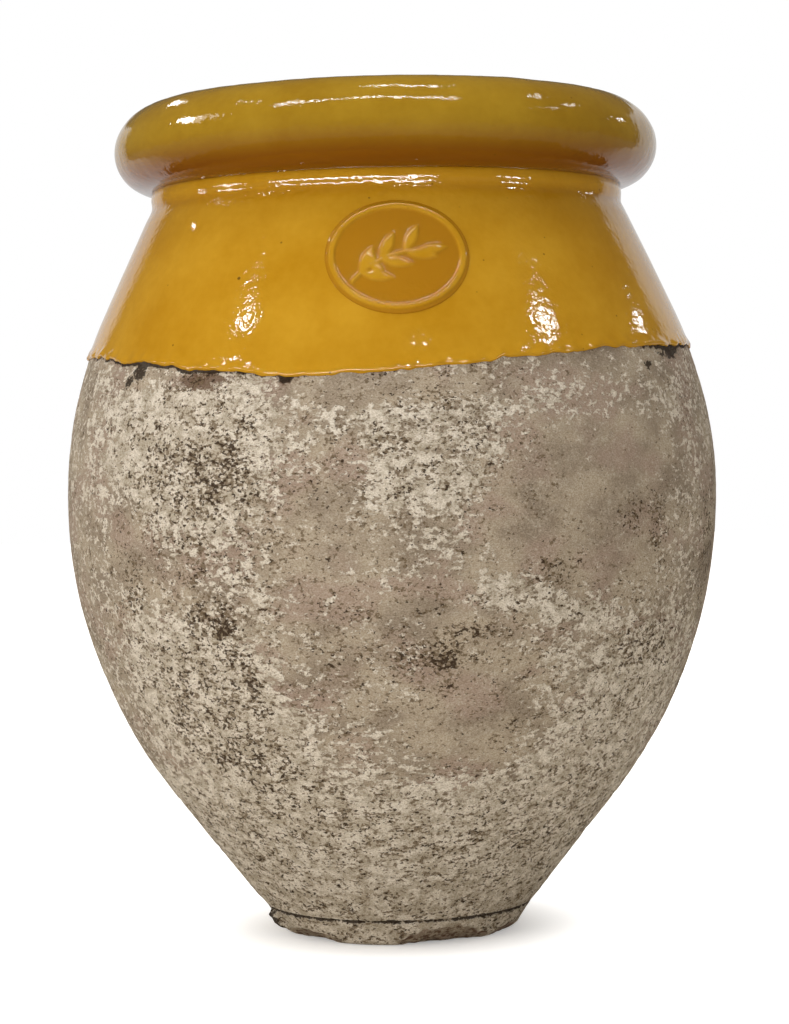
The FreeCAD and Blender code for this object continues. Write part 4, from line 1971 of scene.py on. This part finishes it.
@dataclass(frozen=True)
class Lamp:
    """A rectangular lamp, with its sizes in metres and its glow as radiance.

    It points at the middle of the jar, or straight down where it is level. roll turns it about that
    direction, and shows_on names the pieces that it shows on, where it doesn't show on all.
    """

    name: str
    place: tuple[float, ...]
    width: float
    height: float
    glow: float
    reach: Reach
    roll: float = 0.0
    level: bool = False
    shows_on: tuple[str, ...] = ()

    def hang(self) -> None:
        """Adds the lamp to the scene."""
        bpy.ops.object.light_add(type="AREA", location=self.place)
        lamp = bpy.context.object
        lamp.name = self.name
        away = Vector((0, 0, 1)) if self.level else Vector(self.place) - Vector(JAR_MIDDLE)
        roll = Euler((0, 0, math.radians(self.roll))).to_matrix()
        lamp.rotation_euler = (away.to_track_quat("Z", "Y").to_matrix() @ roll).to_euler()
        lamp.data.shape = "RECTANGLE"
        lamp.data.size = self.width
        lamp.data.size_y = self.height
        lamp.data.energy = self.glow * math.pi * self.width * self.height
        lamp.visible_camera = False
        lamp.visible_glossy = self.reach is Reach.GLINT
        lamp.visible_diffuse = self.reach is Reach.SOFT
        if self.shows_on:
            group = bpy.data.collections.new(f"{self.name}_shows_on")
            for name in self.shows_on:
                group.objects.link(bpy.data.objects[name])
            lamp.light_linking.receiver_collection = group


@dataclass(frozen=True)
class Studio:
    """A white sweep under soft light, with the lamps and the white card that show in the glaze.

    card_top gives the height of the card's upper edge at bearings. card_shine goes from the card's ends to
    its middle, between the two bearings of card_dim.
    """

    floor_radius: float = 8.0
    floor_sides: int = 96
    floor_colour: str = "#E4E2DE"
    floor_bounce: str = "#F4F0E8"
    shadow_reach: Pair = (0.085, 0.17)
    shadow_lift: float = 0.30
    mirror_edge: Pair = (0.98, 1.02)
    mirror_stand: float = 0.02
    mirror_floor: float = 0.20
    mirror_room: float = 0.10
    ambient_left: float = 0.58
    ambient_right: float = 0.20
    ambient_tint: str = "#FFF9F0"
    card_radius: float = 0.55
    card_foot: float = 0.29
    card_lift: float = 10 * MM
    card_shine: Pair = (0.22, 0.75)
    card_dim: Pair = (88.0, 113.0)
    card_top: tuple[Pair, ...] = (
        (75, 0.36), (92, 0.39), (103, 0.49), (112, 0.56), (115, 0.83), (140, 0.82), (165, 0.74),
        (195, 0.74), (220, 0.76), (237, 0.79), (240, 0.55), (257, 0.49), (268, 0.39), (285, 0.36),
    )
    lamps: tuple[Lamp, ...] = (
        Lamp("key_left", out_at(-45, 13, 2.6), 1.4, 1.4, 3.5, Reach.SOFT),
        Lamp("key_right", out_at(17, 13, 2.6), 1.4, 1.4, 1.75, Reach.SOFT),
        Lamp("overhead", out_at(0, 80, 2.4), 1.6, 1.2, 3.8, Reach.SOFT),
        Lamp("back_fill", out_at(170, 25, 2.6), 1.4, 1.4, 2.2, Reach.SOFT),
        Lamp("tube_front", (-0.35, -1.02, 2.63), 2.5, 0.055, 42, Reach.GLINT, level=True,
             shows_on=RIM_AND_SEAL),
        Lamp("tube_back", (0.14, 0.20, 2.63), 0.5, 0.05, 36, Reach.GLINT, level=True, shows_on=RIM),
        Lamp("glint_left", out_at(-62.5, 39.6), 0.13, 0.14, 48, Reach.GLINT, -35, shows_on=SLOPE),
        Lamp("glint_right", out_at(67.0, 37.7), 0.13, 0.18, 44, Reach.GLINT, 17, shows_on=SLOPE),
        Lamp("glint_low", (0.400, -1.890, 1.650), 0.14, 0.06, 110, Reach.GLINT, shows_on=SLOPE),
        Lamp("glint_far_right", out_at(116.0, 24.1), 0.15, 0.05, 34, Reach.GLINT),
        Lamp("dot_left", (-0.1821, -0.1166, 0.5748), 0.0035, 0.0035, 40, Reach.GLINT, shows_on=SLOPE),
        Lamp("collar_front", out_at(-15, 5, 2.2), 3.3, 0.15, 34, Reach.GLINT, shows_on=SLOPE),
        Lamp("collar_right", out_at(60, 6, 2.2), 0.45, 0.14, 24, Reach.GLINT, shows_on=SLOPE),
        Lamp("collar_left", out_at(-76, 5, 2.2), 0.55, 0.12, 24, Reach.GLINT, shows_on=SLOPE),
        Lamp("rim_left_back", out_at(-142.7, 39.9), 0.22, 0.08, 26, Reach.GLINT, shows_on=RIM),
        Lamp("rim_left", (-2.137, 0.174, 1.726), 0.40, 0.30, 26, Reach.GLINT, shows_on=RIM),
        Lamp("rim_left_haze", (-2.114, -0.222, 1.788), 0.40, 0.50, 4, Reach.GLINT, shows_on=RIM),
        Lamp("rim_left_high", out_at(-89.4, 56.7), 0.22, 0.05, 26, Reach.GLINT, shows_on=RIM),
        Lamp("rim_right_high", out_at(97.9, 55.2), 0.20, 0.05, 26, Reach.GLINT, shows_on=RIM),
        Lamp("rim_right_low", (1.957, -0.429, 1.976), 0.45, 0.02, 20, Reach.GLINT, shows_on=RIM),
        Lamp("rim_right", (1.832, 0.323, 2.108), 0.22, 0.05, 24, Reach.GLINT, shows_on=RIM),
    )

    def lay_floor(self) -> None:
        """Lays a pale round floor, which the camera sees as white outside the jar's shadow.

        The glaze mirrors it as a dark stand with grey ground from the stand's edge on.
        """
        bpy.ops.object.select_all(action="DESELECT")
        bpy.ops.mesh.primitive_circle_add(vertices=self.floor_sides, radius=self.floor_radius,
                                          fill_type="NGON")
        floor = bpy.context.object
        floor.name = "studio_floor"
        material, tree = new_material("white_paper_sweep")
        path = add_node(tree, "ShaderNodeLightPath").node
        place = add_node(tree, "ShaderNodeTexCoord", out="Object")
        reach = add_node(tree, "ShaderNodeVectorMath", {0: place}, "Value", operation="LENGTH")
        lift = add_node(tree, "ShaderNodeMapRange", {
            "Value": reach, "From Min": self.shadow_reach[0], "From Max": self.shadow_reach[1],
            "To Min": self.shadow_lift, "To Max": 1.0})
        seen = add_node(tree, "ShaderNodeMath", {0: lift, 1: path.outputs["Is Camera Ray"]},
                        operation="MULTIPLY")
        ground = add_node(tree, "ShaderNodeMapRange", {
            "Value": reach, "From Min": self.mirror_edge[0], "From Max": self.mirror_edge[1],
            "To Min": self.mirror_stand, "To Max": self.mirror_floor})
        colour = add_node(tree, "ShaderNodeMix", {
            0: path.outputs["Is Camera Ray"], 6: linear(self.floor_bounce), 7: linear(self.floor_colour)}, 2,
            data_type="RGBA")
        paper = add_node(tree, "ShaderNodeBsdfPrincipled", {
            "Base Color": colour, "Roughness": 1.0, "Specular IOR Level": 0.0,
            "Emission Color": WHITE, "Emission Strength": seen})
        mirror = add_node(tree, "ShaderNodeEmission", {"Color": WHITE, "Strength": ground})
        feeds = {0: path.outputs["Is Glossy Ray"], 1: paper, 2: mirror}
        whole = add_node(tree, "ShaderNodeMixShader", feeds)
        add_node(tree, "ShaderNodeOutputMaterial", {"Surface": whole})
        floor.data.materials.append(material)

    def stand_card(self) -> None:
        """Stands a curved white card behind the jar, which nothing but the glaze's reflections shows."""
        first, last = self.card_top[0][0], self.card_top[-1][0]
        bearings = np.arange(first, last + 1.0)
        card = draw_line("studio_card", from_around(bearings, self.card_radius, self.card_foot))
        bpy.ops.mesh.extrude_region_move(TRANSFORM_OT_translate={"value": (0, 0, self.card_lift)})
        close_mesh()
        points = points_of(card)
        bearing = around(points)[0] % 360
        raised = points[:, 2] > self.card_foot + self.card_lift / 2
        points[:, 2] = np.where(raised, np.interp(bearing, *zip(*self.card_top)), points[:, 2])
        put_points(card, points)
        inward = fade(np.minimum(bearing, 360 - bearing), *self.card_dim)
        keep_mark(card, Mark.SHINE, np.interp(inward, (0, 1), self.card_shine))
        material, tree = new_material("white_card")
        shine = add_node(tree, "ShaderNodeAttribute", out="Fac", attribute_name=Mark.SHINE.value)
        lit = add_node(tree, "ShaderNodeEmission", {"Color": WHITE, "Strength": shine})
        add_node(tree, "ShaderNodeOutputMaterial", {"Surface": lit})
        card.data.materials.append(material)
        card.visible_camera = card.visible_diffuse = card.visible_transmission = card.visible_shadow = False

    def wrap_world(self) -> None:
        """Sets the surroundings: white for the camera, a dim room in reflections, soft light otherwise."""
        world = bpy.data.worlds.new("studio")
        bpy.context.scene.world = world
        world.use_nodes = True
        tree = world.node_tree
        tree.nodes.clear()
        path = add_node(tree, "ShaderNodeLightPath").node
        way = add_node(tree, "ShaderNodeTexCoord", out="Generated")
        side = add_node(tree, "ShaderNodeSeparateXYZ", {"Vector": way}, "X")
        ambient = add_node(tree, "ShaderNodeMapRange", {
            "Value": side, "From Min": -1.0, "To Min": self.ambient_left, "To Max": self.ambient_right})
        tint = linear(self.ambient_tint)
        soft, room, white = [
            add_node(tree, "ShaderNodeBackground", {"Color": colour, "Strength": strength})
            for colour, strength in ((tint, ambient), (tint, self.mirror_room), (WHITE, 1.0))
        ]
        rays = {0: path.outputs["Is Glossy Ray"], 1: path.outputs["Is Transmission Ray"]}
        glossy = add_node(tree, "ShaderNodeMath", rays, operation="MAXIMUM")
        lit = add_node(tree, "ShaderNodeMixShader", {0: glossy, 1: soft, 2: room})
        whole = add_node(tree, "ShaderNodeMixShader", {0: path.outputs["Is Camera Ray"], 1: lit, 2: white})
        add_node(tree, "ShaderNodeOutputWorld", {"Surface": whole})

    def set_up(self) -> None:
        """Lays the floor, stands the card, sets the surroundings and hangs the lamps."""
        self.lay_floor()
        self.stand_card()
        self.wrap_world()
        for lamp in self.lamps:
            lamp.hang()
        bpy.context.scene.view_settings.view_transform = "Standard"


@dataclass(frozen=True)
class Viewpoint:
    """The camera, a little above the middle of the jar and looking slightly down."""

    place: tuple[float, float, float] = (0.0018, -2.043, 0.389)
    pitch: float = -1.67
    roll: float = -1.08
    lens: float = 90.2
    sensor: float = 36.0

    def set_up(self) -> None:
        """Adds the camera and makes it the scene's."""
        bpy.ops.object.camera_add(location=self.place)
        camera = bpy.context.object
        facing = Euler((math.radians(90 + self.pitch), 0, 0)).to_matrix()
        camera.rotation_euler = (facing @ Euler((0, 0, math.radians(self.roll))).to_matrix()).to_euler()
        camera.data.lens = self.lens
        camera.data.sensor_width = self.sensor
        camera.data.sensor_fit = "AUTO"
        camera.data.dof.use_dof = False
        bpy.context.scene.camera = camera


def main() -> None:
    """Builds and finishes the jar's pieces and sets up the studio."""
    logging.basicConfig(level=logging.INFO, format="%(name)s: %(message)s")
    form = JarForm()
    edge = GlazeEdge()
    weather = Weather(form, edge)
    limewash = LimewashedTerracotta().material()
    clay = RawTerracotta().material()
    shoulder_honey = HoneyGlaze("honey_glaze", "#BC8713", "#CB9824", "#A1690F").material()
    # The rim's glaze is a darker, more olive copy of the shoulder's: partly thicker glaze, partly painted
    # shade from how light falls on the rim. Its pool colour also paints the shade under the roll.
    shaded_rim_honey = HoneyGlaze("shaded_honey_glaze_on_rim", "#9C7617", "#AC8722", "#804C0E").material()
    seal_honey = HoneyGlaze("honey_glaze_on_seal", "#BC8713", "#CB9824", "#AC7511").material()

    foot = FootSlab(form, weather)
    foot.dress(foot.build(), limewash, clay)
    coil = FloorCoil(form)
    coil.dress(coil.build(), clay)
    wall = ClayWall(form, edge, weather)
    wall.dress(wall.build(), limewash, clay)
    shoulder = ShoulderGlaze(form, edge)
    shoulder.dress(shoulder.build(), shoulder_honey)
    rim = RimGlaze(form)
    rim.dress(rim.build(), shaded_rim_honey)
    seal = Seal(form)
    seal.dress(seal.build(), seal_honey)
    for node in CLAY_NODES:
        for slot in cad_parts[node].material_slots:
            slot.material = clay
        log.info("%s keeps its CAD shape, in raw clay", node)

    Studio().set_up()
    Viewpoint().set_up()


if __name__ == "__main__":
    main()
